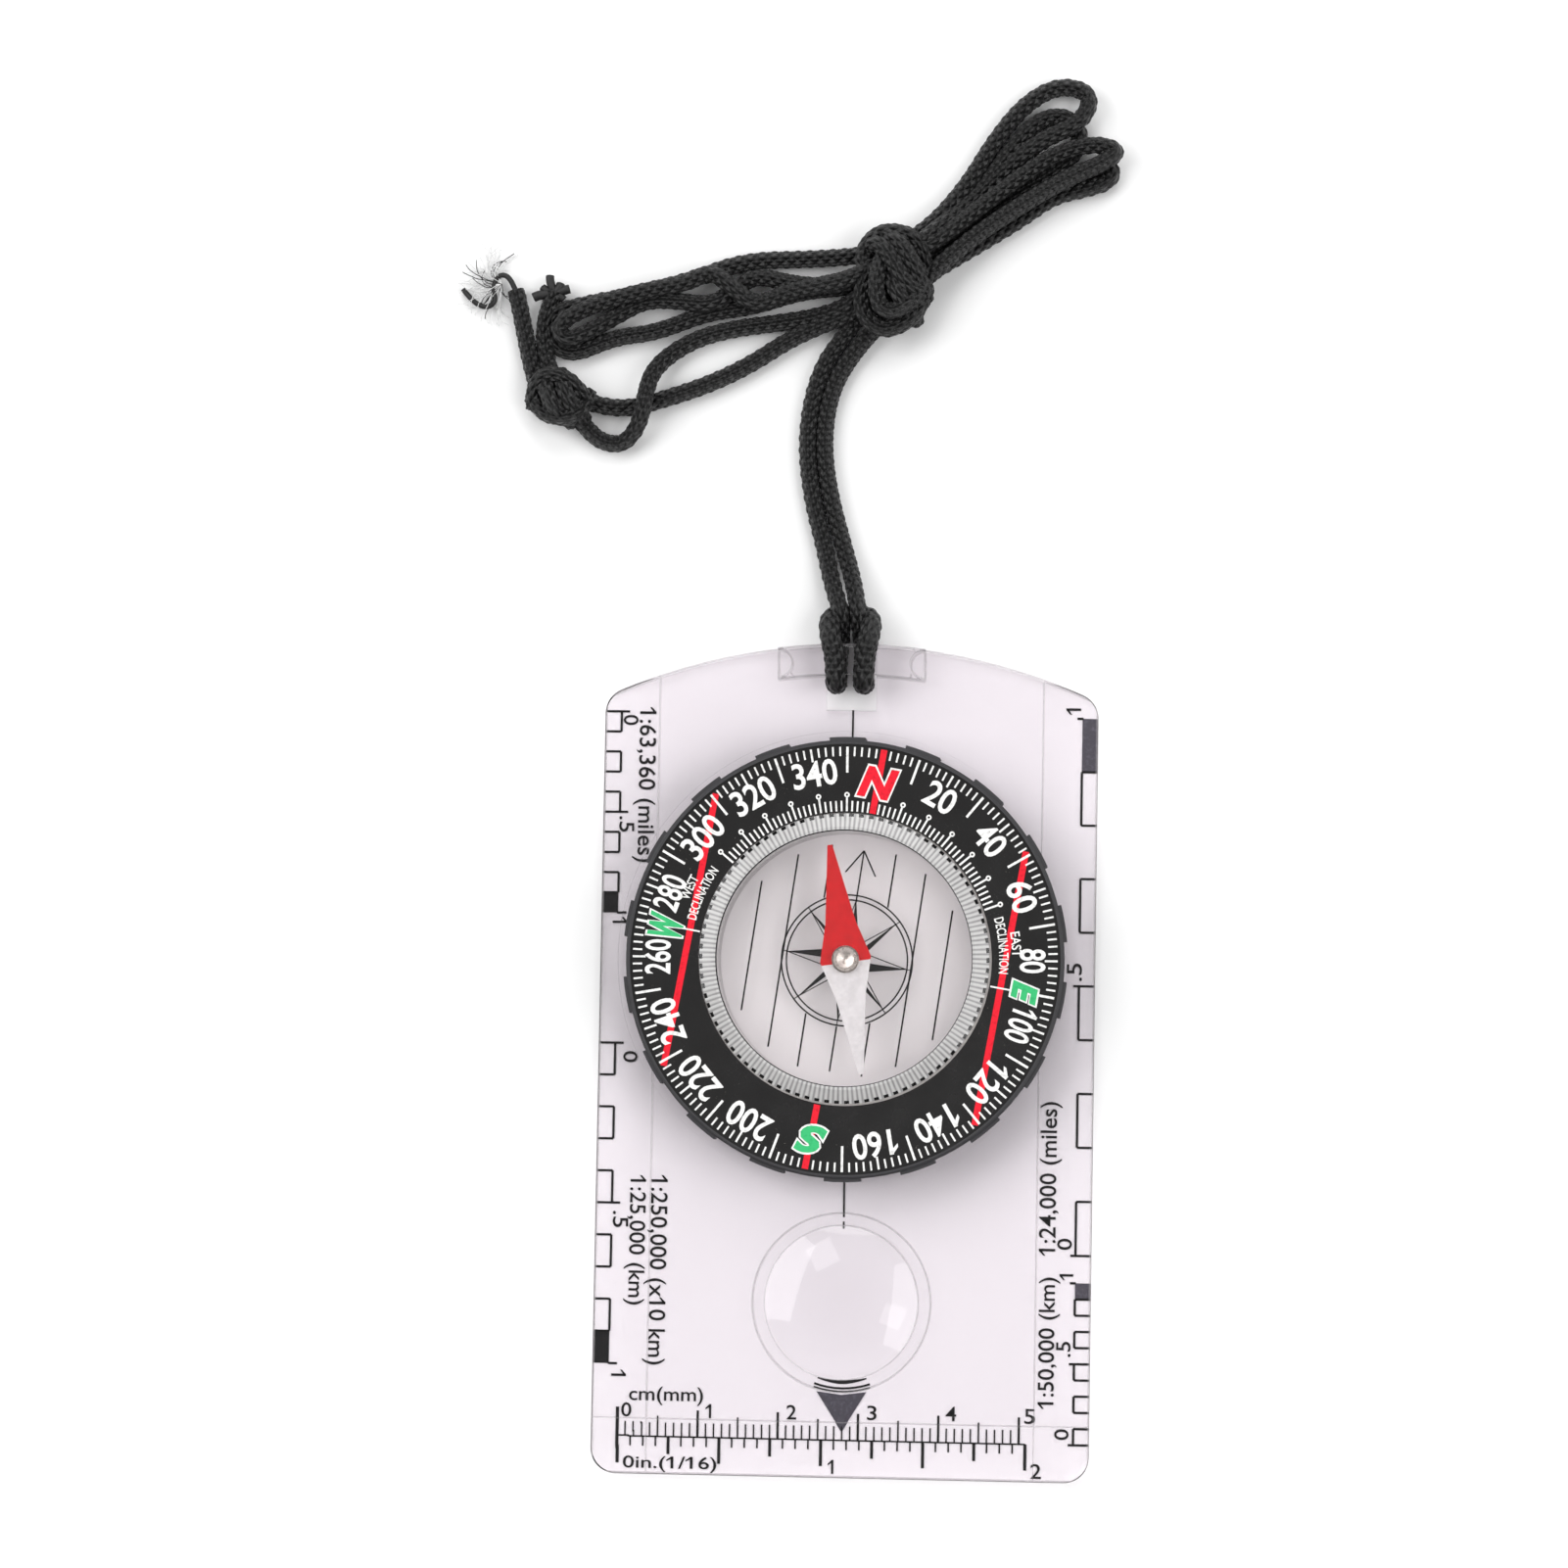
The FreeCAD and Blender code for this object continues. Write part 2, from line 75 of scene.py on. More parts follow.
# Turns of the dial's pieces at rest, in degrees anticlockwise seen from above
bezel_turn = -9.8
capsule_turn = -8.0
needle_turn = 8.8

# Printed face of the bezel: a shallow cone that falls towards the window
face_outer = 26.6
face_outer_z = 7.7
window_radius = 18.2
window_z = 7.2
ink = 0.03

# Ribbed shoulder of the capsule's cover
frost_radius = 15.9
frost_low_z = 9.05
frost_ribs = 180

# How acrylic bends light, and how strongly the grey lines of painted shade along the moulded edges show
acrylic_ior = 1.49
painted_edge_shade_share = 0.3


# Materials

def linear(colour):
    """The linear colour of an sRGB hex value."""
    parts = [int(colour[i:i + 2], 16) / 255 for i in (0, 2, 4)]
    return [p / 12.92 if p <= 0.04045 else ((p + 0.055) / 1.055) ** 2.4 for p in parts] + [1.0]


def new_material(name):
    """An empty material with its output node."""
    material = bpy.data.materials.new(name)
    material.use_nodes = True
    material.node_tree.nodes.clear()
    material.node_tree.nodes.new("ShaderNodeOutputMaterial")
    return material


def add_node(material, kind, inputs=(), ramp=(), **settings):
    """Adds a node. An input that is given as another node's output is linked to it, any other is set.
    A ramp gives the place and the colour of each of its stops."""
    tree = material.node_tree
    node = tree.nodes.new("ShaderNode" + kind)
    for name, value in settings.items():
        setattr(node, name, value)
    for n, (place, colour) in enumerate(ramp):
        node.color_ramp.elements[n].position = place
        node.color_ramp.elements[n].color = linear(colour)
    for name, value in dict(inputs).items():
        if isinstance(value, bpy.types.NodeSocket):
            tree.links.new(value, node.inputs[name])
        else:
            node.inputs[name].default_value = value
    return node


def finish_material(material, shader, inside=None):
    """Links the surface's shader, and the inside's where there is one, to the material's output."""
    output = next(n for n in material.node_tree.nodes if n.type == "OUTPUT_MATERIAL")
    material.node_tree.links.new(shader, output.inputs["Surface"])
    if inside:
        material.node_tree.links.new(inside, output.inputs["Volume"])
    return material


def from_dial_centre(material):
    """Distance from the dial's axis in metres, over the piece."""
    place = add_node(material, "TexCoord").outputs["Object"]
    flat = add_node(material, "VectorMath", {0: place, 1: (1, 1, 0)}, operation="MULTIPLY")
    return add_node(material, "VectorMath", {0: flat.outputs[0], 1: (0, dial_y * mm, 0)},
                    operation="DISTANCE").outputs["Value"]


def around_dial(material, count):
    """A wave from 0 to 1 that repeats count times around the dial's axis."""
    place = add_node(material, "TexCoord").outputs["Object"]
    parts = add_node(material, "SeparateXYZ", {0: place})
    from_axis = add_node(material, "Math", {0: parts.outputs["Y"], 1: dial_y * mm}, operation="SUBTRACT")
    angle = add_node(material, "Math", {0: parts.outputs["X"], 1: from_axis.outputs[0]}, operation="ARCTAN2")
    turns = add_node(material, "Math", {0: angle.outputs[0], 1: count}, operation="MULTIPLY")
    wave = add_node(material, "Math", {0: turns.outputs[0]}, operation="SINE")
    return add_node(material, "MapRange", {"Value": wave.outputs[0], "From Min": -1.0}).outputs[0]


def lit_through(material, body, tint):
    """A clear body that lamp light passes straight through, tinted, so that its shadow is pale."""
    straight = add_node(material, "BsdfTransparent", {"Color": linear(tint)})
    path = add_node(material, "LightPath")
    return add_node(material, "MixShader", {0: path.outputs["Is Shadow Ray"], 1: body.outputs[0],
                                            2: straight.outputs[0]}).outputs[0]


def moulded_lines(material):
    """Where grey lines of painted shade lie along the plate's moulded edges: lens, bar, notches, bevels and rims.
    """
    place = add_node(material, "TexCoord").outputs["Object"]
    parts = add_node(material, "SeparateXYZ", {0: place})
    flat = add_node(material, "VectorMath", {0: place, 1: (1, 1, 0)}, operation="MULTIPLY").outputs[0]
    sideways = add_node(material, "Math", {0: parts.outputs["X"]}, operation="ABSOLUTE").outputs[0]
    lengthways = parts.outputs["Y"]
    folded = add_node(material, "CombineXYZ", {0: sideways, 1: lengthways}).outputs[0]
    centres = ((flat, 0, lens_y), (flat, 0, plate_end - arch_radius), (folded, bar_half, notch_y))
    from_lens, from_arch, from_notch = [
        add_node(material, "VectorMath", {0: start, 1: (x * mm, y * mm, 0)},
                 operation="DISTANCE").outputs["Value"]
        for start, x, y in centres]
    bar_inner = arch_radius - bar_width
    # What is measured, where the line lies on it and half the line's width, in millimetres
    edges = (
        (from_arch, bar_inner, 0.13), (sideways, bar_half, 0.13), (from_notch, notch_radius, 0.12),
        (from_arch, arch_radius, 0.35), (from_lens, lens_radius, 0.1), (from_lens, lens_moat_radius, 0.12),
        (sideways, plate_side - bevel_width, 0.07), (sideways, plate_side, 0.28),
        (lengthways, bevel_width - plate_end, 0.07), (lengthways, -plate_end, 0.3),
    )
    bar_edge, bar_end, notch, *lines = [
        add_node(material, "Math", {0: value, 1: at * mm, 2: half * mm}, operation="COMPARE").outputs[0]
        for value, at, half in edges]
    on_bar = add_node(material, "Math", {0: sideways, 1: bar_half * mm}, operation="LESS_THAN").outputs[0]
    past_bar = add_node(material, "Math", {0: from_arch, 1: bar_inner * mm},
                        operation="GREATER_THAN").outputs[0]
    for line, zone in ((bar_edge, on_bar), (bar_end, past_bar), (notch, on_bar)):
        lines.append(add_node(material, "Math", {0: line, 1: zone}, operation="MULTIPLY").outputs[0])
    total = lines[0]
    for line in lines[1:]:
        total = add_node(material, "Math", {0: total, 1: line}, operation="MAXIMUM").outputs[0]
    return add_node(material, "Math", {0: total, 1: painted_edge_shade_share}, operation="MULTIPLY").outputs[0]


def clear_plastic(name, tint, lamp_tint, inside_tint, density, roughness, flow_mm, depth_mm, lines=None):
    """Moulded clear plastic: bends light, lets the lamps' light through, and is darker where it is thicker.
    lines, when given, paints grey lines of painted shade along its moulded edges."""
    material = new_material(name)
    place = add_node(material, "TexCoord").outputs["Object"]
    flow = add_node(material, "TexNoise", {"Vector": place, "Scale": 1 / (flow_mm * mm), "Detail": 1.0})
    waves = add_node(material, "Bump", {"Height": flow.outputs["Fac"], "Distance": depth_mm * mm})
    body = add_node(material, "BsdfPrincipled", {
        "Base Color": linear(tint), "Roughness": roughness, "IOR": acrylic_ior, "Transmission Weight": 1.0,
        "Normal": waves.outputs["Normal"]})
    if lines:
        # Painted shade: a grey diffuse surface mixed in along the moulded edges, where real edges bend light into
        # dark lines
        edge = add_node(material, "BsdfPrincipled", {"Base Color": linear("a9a6a8"), "Roughness": 0.3})
        body = add_node(material, "MixShader", {0: lines(material), 1: body.outputs[0], 2: edge.outputs[0]})
    inside = add_node(material, "VolumeAbsorption", {"Color": linear(inside_tint), "Density": density})
    return finish_material(material, lit_through(material, body, lamp_tint), inside.outputs[0])


def frosted_shoulder():
    """Clear acrylic whose ribbed shoulder came out of the mould frosted, so that it scatters light. Its grey is
    painted darker in each rib's groove and lighter on each crest, a painted shade and highlight.
    """
    material = new_material("cover_clear_acrylic_frosted_ribs")
    place = add_node(material, "TexCoord").outputs["Object"]
    height = add_node(material, "SeparateXYZ", {0: place}).outputs["Z"]
    above = add_node(material, "Math", {0: height, 1: frost_low_z * mm}, operation="GREATER_THAN")
    outside = add_node(material, "Math", {0: from_dial_centre(material), 1: frost_radius * mm},
                       operation="GREATER_THAN")
    zone = add_node(material, "Math", {0: above.outputs[0], 1: outside.outputs[0]}, operation="MULTIPLY")
    clear = add_node(material, "BsdfPrincipled", {
        "Base Color": linear("f8f7f7"), "Roughness": 0.02, "IOR": acrylic_ior, "Transmission Weight": 1.0})
    ribs = around_dial(material, frost_ribs)
    etching = add_node(material, "TexNoise", {"Vector": place, "Scale": 1 / (1.6 * mm), "Detail": 3.0})
    # Painted shade and highlight: the grey follows the ribs, darker in their grooves and lighter on their crests,
    # over the etching's uneven tone
    etching_and_painted_rib_shade = add_node(material, "Math", {0: etching.outputs["Fac"], 1: 0.5, 2: ribs},
                      operation="MULTIPLY_ADD").outputs[0]
    etched_and_rib_shaded_greys = add_node(material, "ValToRGB", {"Fac": etching_and_painted_rib_shade}, ramp=((0.1, "9b999a"), (1.0, "e8e7e6")))
    raised = add_node(material, "Bump", {"Height": ribs, "Distance": 0.03 * mm})
    frost = add_node(material, "BsdfPrincipled", {
        "Base Color": etched_and_rib_shaded_greys.outputs["Color"], "Roughness": 0.25, "Normal": raised.outputs["Normal"]})
    share = add_node(material, "Math", {0: zone.outputs[0], 1: 0.7}, operation="MULTIPLY")
    body = add_node(material, "MixShader", {0: share.outputs[0], 1: clear.outputs[0], 2: frost.outputs[0]})
    return finish_material(material, lit_through(material, body, "f7f5f6"))


def printed_ink(name, colour, worn):
    """Printed ink: an even satin film whose colour thins a little in places."""
    material = new_material(name)
    place = add_node(material, "TexCoord").outputs["Object"]
    thinning = add_node(material, "TexNoise", {"Vector": place, "Scale": 1 / (0.5 * mm), "Detail": 3.0})
    tone = add_node(material, "ValToRGB", {"Fac": thinning.outputs["Fac"]},
                    ramp=((0.25, worn), (0.5, colour)))
    grain = add_node(material, "TexNoise", {"Vector": place, "Scale": 1 / (0.2 * mm)})
    raised = add_node(material, "Bump", {"Height": grain.outputs["Fac"], "Distance": 0.004 * mm})
    shader = add_node(material, "BsdfPrincipled", {
        "Base Color": tone.outputs["Color"], "Roughness": 0.2, "Normal": raised.outputs["Normal"]})
    return finish_material(material, shader.outputs[0])


def dial_abs():
    """ABS, injection moulded: a polished printed face with dust and fine rubs, and a satin gripping rim."""
    material = new_material("dial_black_abs_moulded")
    place = add_node(material, "TexCoord").outputs["Object"]
    rim = add_node(material, "Math", {0: from_dial_centre(material), 1: (face_outer + 0.1) * mm},
                   operation="GREATER_THAN").outputs[0]
    specks = add_node(material, "TexNoise", {"Vector": place, "Scale": 1 / (0.35 * mm), "Detail": 6.0,
                                             "Roughness": 0.75})
    patches = add_node(material, "TexNoise", {"Vector": place, "Scale": 1 / (9.0 * mm)})
    dust = add_node(material, "Math", {0: specks.outputs["Fac"], 1: 0.66}, operation="GREATER_THAN")
    where = add_node(material, "Math", {0: patches.outputs["Fac"], 1: 0.52}, operation="GREATER_THAN")
    dusty = add_node(material, "Math", {0: dust.outputs[0], 1: where.outputs[0]}, operation="MULTIPLY")
    face = add_node(material, "MixRGB", {"Fac": dusty.outputs[0], "Color1": linear("191818"),
                                         "Color2": linear("5c5a55")})
    colour = add_node(material, "MixRGB", {"Fac": rim, "Color1": face.outputs[0], "Color2": linear("2e2d30")})
    satin = add_node(material, "MapRange", {"Value": rim, "To Min": 0.17, "To Max": 0.42}).outputs[0]
    rubs = add_node(material, "TexNoise", {"Vector": place, "Scale": 1 / (4.0 * mm), "Detail": 3.0})
    rough = add_node(material, "Math", {0: satin, 1: rubs.outputs["Fac"], 2: satin}, operation="MULTIPLY_ADD")
    grain = add_node(material, "TexNoise", {"Vector": place, "Scale": 1 / (0.6 * mm), "Detail": 4.0})
    raised = add_node(material, "Bump", {"Height": grain.outputs["Fac"], "Distance": 0.012 * mm})
    shader = add_node(material, "BsdfPrincipled", {
        "Base Color": colour.outputs[0], "Roughness": rough.outputs[0], "IOR": 1.54,
        "Normal": raised.outputs["Normal"]})
    return finish_material(material, shader.outputs[0])


def satin_plastic(name, dark, light, roughness, grain_mm, depth_mm):
    """A moulded, rubbery or ground part with a fine even grain."""
    material = new_material(name)
    place = add_node(material, "TexCoord").outputs["Object"]
    grain = add_node(material, "TexNoise", {"Vector": place, "Scale": 1 / (grain_mm * mm), "Detail": 3.0})
    tone = add_node(material, "ValToRGB", {"Fac": grain.outputs["Fac"]}, ramp=((0.3, dark), (0.7, light)))
    raised = add_node(material, "Bump", {"Height": grain.outputs["Fac"], "Distance": depth_mm * mm})
    shader = add_node(material, "BsdfPrincipled", {
        "Base Color": tone.outputs["Color"], "Roughness": roughness, "Normal": raised.outputs["Normal"]})
    return finish_material(material, shader.outputs[0])


def bright_metal(name, dark, light, roughness, grain_mm):
    """Polished or plated metal with faint tooling marks."""
    material = new_material(name)
    place = add_node(material, "TexCoord").outputs["Object"]
    marks = add_node(material, "TexNoise", {"Vector": place, "Scale": 1 / (grain_mm * mm),
                                            "Detail": 4.0}).outputs["Fac"]
    tone = add_node(material, "ValToRGB", {"Fac": marks}, ramp=((0.3, dark), (0.7, light)))
    rough = add_node(material, "MapRange", {"Value": marks, "To Min": roughness * 0.7,
                                            "To Max": roughness * 1.4})
    raised = add_node(material, "Bump", {"Height": marks, "Distance": 0.006 * mm})
    shader = add_node(material, "BsdfPrincipled", {
        "Base Color": tone.outputs["Color"], "Metallic": 1.0, "Roughness": rough.outputs[0],
        "Normal": raised.outputs["Normal"]})
    return finish_material(material, shader.outputs[0])


def needle_enamel():
    """Spring steel, enamelled red on the north half and white on the south, split across the hub."""
    material = new_material("needle_red_and_white_enamel")
    place = add_node(material, "TexCoord").outputs["Object"]
    from_hub = add_node(material, "VectorMath", {0: place, 1: (0, dial_y * mm, 0)}, operation="SUBTRACT")
    turn = math.radians(needle_turn)
    north_way = (-math.sin(turn), math.cos(turn), 0)
    along = add_node(material, "VectorMath", {0: from_hub.outputs[0], 1: north_way}, operation="DOT_PRODUCT")
    north = add_node(material, "Math", {0: along.outputs["Value"], 1: -0.4 * mm}, operation="GREATER_THAN")
    brush = add_node(material, "TexNoise", {"Vector": place, "Scale": 1 / (0.7 * mm),
                                            "Detail": 3.0}).outputs["Fac"]
    red = add_node(material, "ValToRGB", {"Fac": brush}, ramp=((0.3, "b00d12"), (0.7, "c41318")))
    white = add_node(material, "ValToRGB", {"Fac": brush}, ramp=((0.3, "c6c4c5"), (0.7, "d6d4d5")))
    colour = add_node(material, "MixRGB", {"Fac": north.outputs[0], "Color1": white.outputs["Color"],
                                           "Color2": red.outputs["Color"]})
    raised = add_node(material, "Bump", {"Height": brush, "Distance": 0.01 * mm})
    shader = add_node(material, "BsdfPrincipled", {
        "Base Color": colour.outputs[0], "Roughness": 0.16, "Normal": raised.outputs["Normal"]})
    return finish_material(material, shader.outputs[0])


braid_strands = 6        # strands seen round the cord
braid_pitch = 1.5        # mm along the cord from one crossing to the next


def braided_polyester():
    """Polyester yarn, braided: V-shaped stitches with painted highlights on them and painted shade in the gaps
    between them.
    """
    material = new_material("cord_black_polyester_braid")
    place = add_node(material, "TexCoord").outputs["UV"]
    parts = add_node(material, "SeparateXYZ", {0: place})
    along, round_it = parts.outputs["X"], parts.outputs["Y"]
    waves = []
    for hand in (1, -1):
        turned = add_node(material, "Math", {0: round_it, 1: hand * braid_strands, 2: along},
                          operation="MULTIPLY_ADD")
        phase = add_node(material, "Math", {0: turned.outputs[0], 1: math.pi}, operation="MULTIPLY")
        wave = add_node(material, "Math", {0: phase.outputs[0]}, operation="SINE")
        waves.append(add_node(material, "Math", {0: wave.outputs[0]}, operation="ABSOLUTE").outputs[0])
    stitch = add_node(material, "Math", {0: waves[0], 1: waves[1]}, operation="MULTIPLY")
    fibres = add_node(material, "TexNoise", {"Vector": place, "Scale": 9.0, "Detail": 3.0})
    height = add_node(material, "Math", {0: fibres.outputs["Fac"], 1: 0.35, 2: stitch.outputs[0]},
                      operation="MULTIPLY_ADD").outputs[0]
    # Painted highlight and shade: lighter on the raised stitches, darker in the gaps between them, with the
    # fibres' random tone mixed in
    tone = add_node(material, "ValToRGB", {"Fac": height}, ramp=((0.3, "020202"), (1.0, "151415")))
    raised = add_node(material, "Bump", {"Height": height, "Distance": 0.4 * mm})
    shader = add_node(material, "BsdfPrincipled", {
        "Base Color": tone.outputs["Color"], "Roughness": 0.45, "Sheen Weight": 0.04, "Sheen Roughness": 0.4,
        "Normal": raised.outputs["Normal"]})
    return finish_material(material, shader.outputs[0])


acrylic = clear_plastic("plate_clear_acrylic_moulded", "f4f2f4", "f0edef", "bbb5ba", 75.0, 0.05, 14.0, 0.02,
                        moulded_lines)
cover_acrylic = frosted_shoulder()
capsule_acrylic = clear_plastic("capsule_clear_acrylic_moulded", "f8f7f7", "f7f5f6", "c8c2c4", 12.0, 0.02,
                                8.0, 0.015)
dial_black = dial_abs()
clip_black = satin_plastic("retainer_black_acetal_moulded", "131313", "1d1d1d", 0.4, 0.5, 0.01)
washer_rubber = satin_plastic("washer_silicone_rubber", "a9a7a4", "b8b6b2", 0.6, 0.4, 0.02)
steel = bright_metal("pin_steel_ground", "8d8f92", "b8babd", 0.25, 0.15)
nickel = bright_metal("hub_nickel_plated_brass", "d9cfc6", "f4ece6", 0.28, 0.3)
jewel_glass = satin_plastic("bearing_sapphire_ground", "9aa7b8", "c7d0dc", 0.12, 0.3, 0.002)
enamel = needle_enamel()
braid = braided_polyester()
white_ink = printed_ink("ink_white_pad_printed", "f6f6f4", "cfcecc")
red_ink = printed_ink("ink_red_pad_printed", "ee1f33", "cc1a2b")
green_ink = printed_ink("ink_green_pad_printed", "3fbf78", "34a869")
black_ink = printed_ink("ink_black_screen_printed", "0e0d0e", "1c1a1b")
grey_ink = printed_ink("ink_dark_grey_screen_printed", "4c4a52", "5f5d66")
fibre_pale = satin_plastic("fibre_core_nylon_white", "cfcfcf", "f0f0f0", 0.4, 0.3, 0.002)
fibre_black = satin_plastic("fibre_polyester_black", "0d0d0d", "1f1e1f", 0.55, 0.3, 0.002)

cad_finish = {
    "baseplate": acrylic, "bezel": dial_black, "retaining_ring": clip_black, "capsule_base": capsule_acrylic,
    "capsule_cover": cover_acrylic, "friction_ring": washer_rubber, "filler_plug": steel,
    "pivot_pin": steel, "needle": enamel, "needle_cap": nickel, "jewel_bearing": jewel_glass,
}
for name, material in cad_finish.items():
    for slot in nodes[name].material_slots:
        slot.material = material


# Camera, light and floor

floor_z = -0.05        # just under the plate, so that the two faces don't coincide

def studio():
    """White floor, soft lights at the sides and the back, two small ones overhead, and the camera."""
    bpy.ops.object.select_all(action="DESELECT")
    bpy.ops.mesh.primitive_plane_add(size=4.0, location=(0, 0, floor_z * mm))
    floor = bpy.context.object
    floor.name = "floor"
    paper = new_material("floor_white_paper")
    shader = add_node(paper, "BsdfPrincipled", {"Base Color": linear("f7f7f7"), "Roughness": 0.9})
    floor.data.materials.append(finish_material(paper, shader.outputs[0]))

    world = bpy.data.worlds.new("studio")
    world.use_nodes = True
    sky = world.node_tree.nodes["Background"]
    sky.inputs["Color"].default_value = (1, 1, 1, 1)
    sky.inputs["Strength"].default_value = 0.3
    bpy.context.scene.world = world
    lights = (
        ("left_softbox", (-1.0, 0.3, 0.95), 1.15, 12.4),
        ("right_softbox", (1.0, -0.15, 0.95), 1.15, 10.2),
        ("back_softbox", (0.1, 1.15, 0.9), 1.0, 8.4),
        ("small_top_light", (-0.27, 0.46, 1.1), 0.3, 0.6),
        ("window_light", (0.5, -0.2, 1.05), 0.24, 0.35),
    )
    for name, place, size, power in lights:
        data = bpy.data.lights.new(name, "AREA")
        data.shape = "SQUARE"
        data.size = size
        data.energy = power
        lamp = bpy.data.objects.new(name, data)
        lamp.location = place
        lamp.rotation_euler = (-Vector(place)).to_track_quat("-Z", "Y").to_euler()
        bpy.context.collection.objects.link(lamp)

    lens = bpy.data.cameras.new("camera")
    lens.sensor_width = 36.0
    lens.lens = 109.75
    camera = bpy.data.objects.new("camera", lens)
    camera.location = (0.02957, -0.00877, 0.59914)
    camera.rotation_euler = (0.0730, 0.0620, 0.0179)
    bpy.context.collection.objects.link(camera)
    bpy.context.scene.camera = camera
    bpy.context.scene.view_settings.view_transform = "Standard"


studio()


# Neck cord

cord_diameter = 2.2
rest_z = 1.18
second_layer = 2.85
over_bar_z = 4.85
under_bar_z = 1.18
track_step = 0.25        # mm between the points that a tube follows
stitch_depth = 0.11      # how deep the braid's gaps are
pressed_reach = 17       # mm of cord, from the middle of the hitch, that is pressed flat
pressed_share = 0.24     # how much thicker it looks there
slot_turn_y = 46.95

# Left half of the hitch: from the middle of its collar over the bar, down the slot, back under the bar and
# up over the collar to where the strand stands free
left_hitch = [
    (-0.2, 55.5, 1.3), (-1.5, 55.8, 1.6), (-2.9, 55.1, 2.9), (-2.7, 52.9, 4.9),
    (-2.1, 50.6, over_bar_z + 0.2), (-1.9, 48.6, over_bar_z + 0.1),
    (-1.85, slot_turn_y, over_bar_z), (-1.85, slot_turn_y, under_bar_z),
    (-1.5, 51.6, under_bar_z), (-1.3, 53.6, 1.9), (-1.4, 55.9, 4.0),
]
left_strand = [
    (-2.75, 60.0, 2.1), (-3.75, 64.4, rest_z), (-5.4, 70.4, rest_z), (-6.25, 76.8, rest_z),
    (-5.8, 82.6, rest_z), (-4.3, 87.6, rest_z), (-1.7, 91.2, rest_z), (0.4, 94.2, 1.9),
]
# Right half and strand, made the same way
right_hitch = [
    (-0.2, 55.5, 1.3), (1.1, 55.8, 1.6), (2.5, 55.1, 2.9), (2.3, 52.9, 4.9), (1.8, 50.6, over_bar_z + 0.2),
    (1.65, 48.6, over_bar_z + 0.1), (1.6, slot_turn_y, over_bar_z), (1.6, slot_turn_y, under_bar_z),
    (1.3, 51.6, under_bar_z), (1.0, 53.6, 1.9), (0.8, 55.9, 4.0),
]
right_strand = [
    (0.0, 60.0, 2.1), (-1.3, 64.4, rest_z), (-3.0, 70.2, rest_z), (-4.0, 75.8, rest_z),
    (-3.9, 80.8, rest_z), (-2.9, 85.0, rest_z), (-0.9, 88.5, rest_z), (1.8, 91.8, 1.6),
]
# Loops right of the main knot
loop_low = [
    (4.4, 95.6, 3.0), (9.4, 99.4, 2.2), (15.0, 103.0, rest_z), (20.2, 106.2, rest_z), (24.4, 109.3, rest_z),
    (28.4, 110.2, rest_z), (31.6, 111.2, rest_z), (31.9, 113.3, rest_z), (27.0, 112.5, rest_z),
    (20.6, 108.7, rest_z), (15.0, 105.0, rest_z), (9.8, 101.8, 2.4),
]
loop_outer = [
    (4.3, 101.8, 3.0), (9.3, 105.2, 2.4), (13.6, 110.6, rest_z), (17.0, 116.4, rest_z), (20.8, 121.2, rest_z),
    (25.2, 123.6, rest_z), (29.3, 122.2, 1.9), (27.9, 118.3, second_layer), (22.4, 116.0, 2.4),
    (18.0, 112.2, rest_z), (13.6, 107.6, 1.8), (9.2, 104.0, 4.4),
]
loop_middle = [
    (4.5, 93.8, 3.0), (9.2, 98.8, 4.4), (14.6, 103.8, 3.2), (20.2, 107.6, 3.2),
    (25.8, 111.0, 3.2), (30.2, 113.0, 3.0), (32.9, 114.8, 2.5), (29.6, 115.9, 2.4),
    (24.4, 114.4, 2.4), (19.4, 110.8, 2.6), (14.2, 106.6, 3.0), (9.4, 102.6, 4.6),
]
loop_inner = [
    (4.3, 100.6, 4.9), (9.4, 103.2, 2.4), (14.6, 108.6, rest_z), (18.6, 114.6, rest_z), (22.4, 119.2, rest_z),
    (26.4, 119.6, rest_z), (28.2, 116.2, rest_z), (24.8, 112.4, rest_z), (19.6, 109.6, rest_z),
    (14.8, 106.4, rest_z), (9.6, 102.4, 2.2),
]
# Loops left of it
loop_left_outer = [
    (4.3, 98.0, 3.0), (-1.6, 97.3, 2.0), (-7.2, 96.9, rest_z), (-13.2, 94.9, rest_z), (-19.2, 94.1, rest_z),
    (-25.6, 91.5, rest_z), (-30.8, 90.9, rest_z), (-36.4, 88.4, rest_z), (-38.9, 90.4, rest_z),
    (-39.1, 93.8, rest_z), (-34.6, 95.1, rest_z), (-28.8, 96.2, rest_z), (-21.4, 98.2, rest_z),
    (-14.4, 100.8, rest_z), (-6.4, 101.0, rest_z), (-0.8, 101.2, 2.2),
]
loop_left_inner = [
    (4.3, 100.0, 3.0), (-0.6, 97.6, 3.4), (-5.0, 97.2, 3.2), (-9.0, 97.8, 2.4), (-13.0, 98.9, 1.7),
    (-15.8, 96.8, 1.8), (-18.6, 94.9, 2.4), (-22.4, 95.4, 2.0), (-26.8, 95.6, 1.8), (-30.4, 93.6, 1.8),
    (-33.6, 91.6, 2.2), (-37.2, 90.0, 2.8), (-38.0, 92.4, 3.0), (-33.6, 94.7, 2.6), (-29.2, 96.0, 2.9),
    (-25.0, 97.0, 2.9), (-21.6, 97.6, 2.8), (-18.6, 99.2, 2.8), (-15.8, 97.0, 3.4), (-13.0, 94.7, 2.9),
    (-8.6, 96.6, 3.0), (-4.6, 97.2, 4.4), (-0.8, 98.0, 4.6),
]
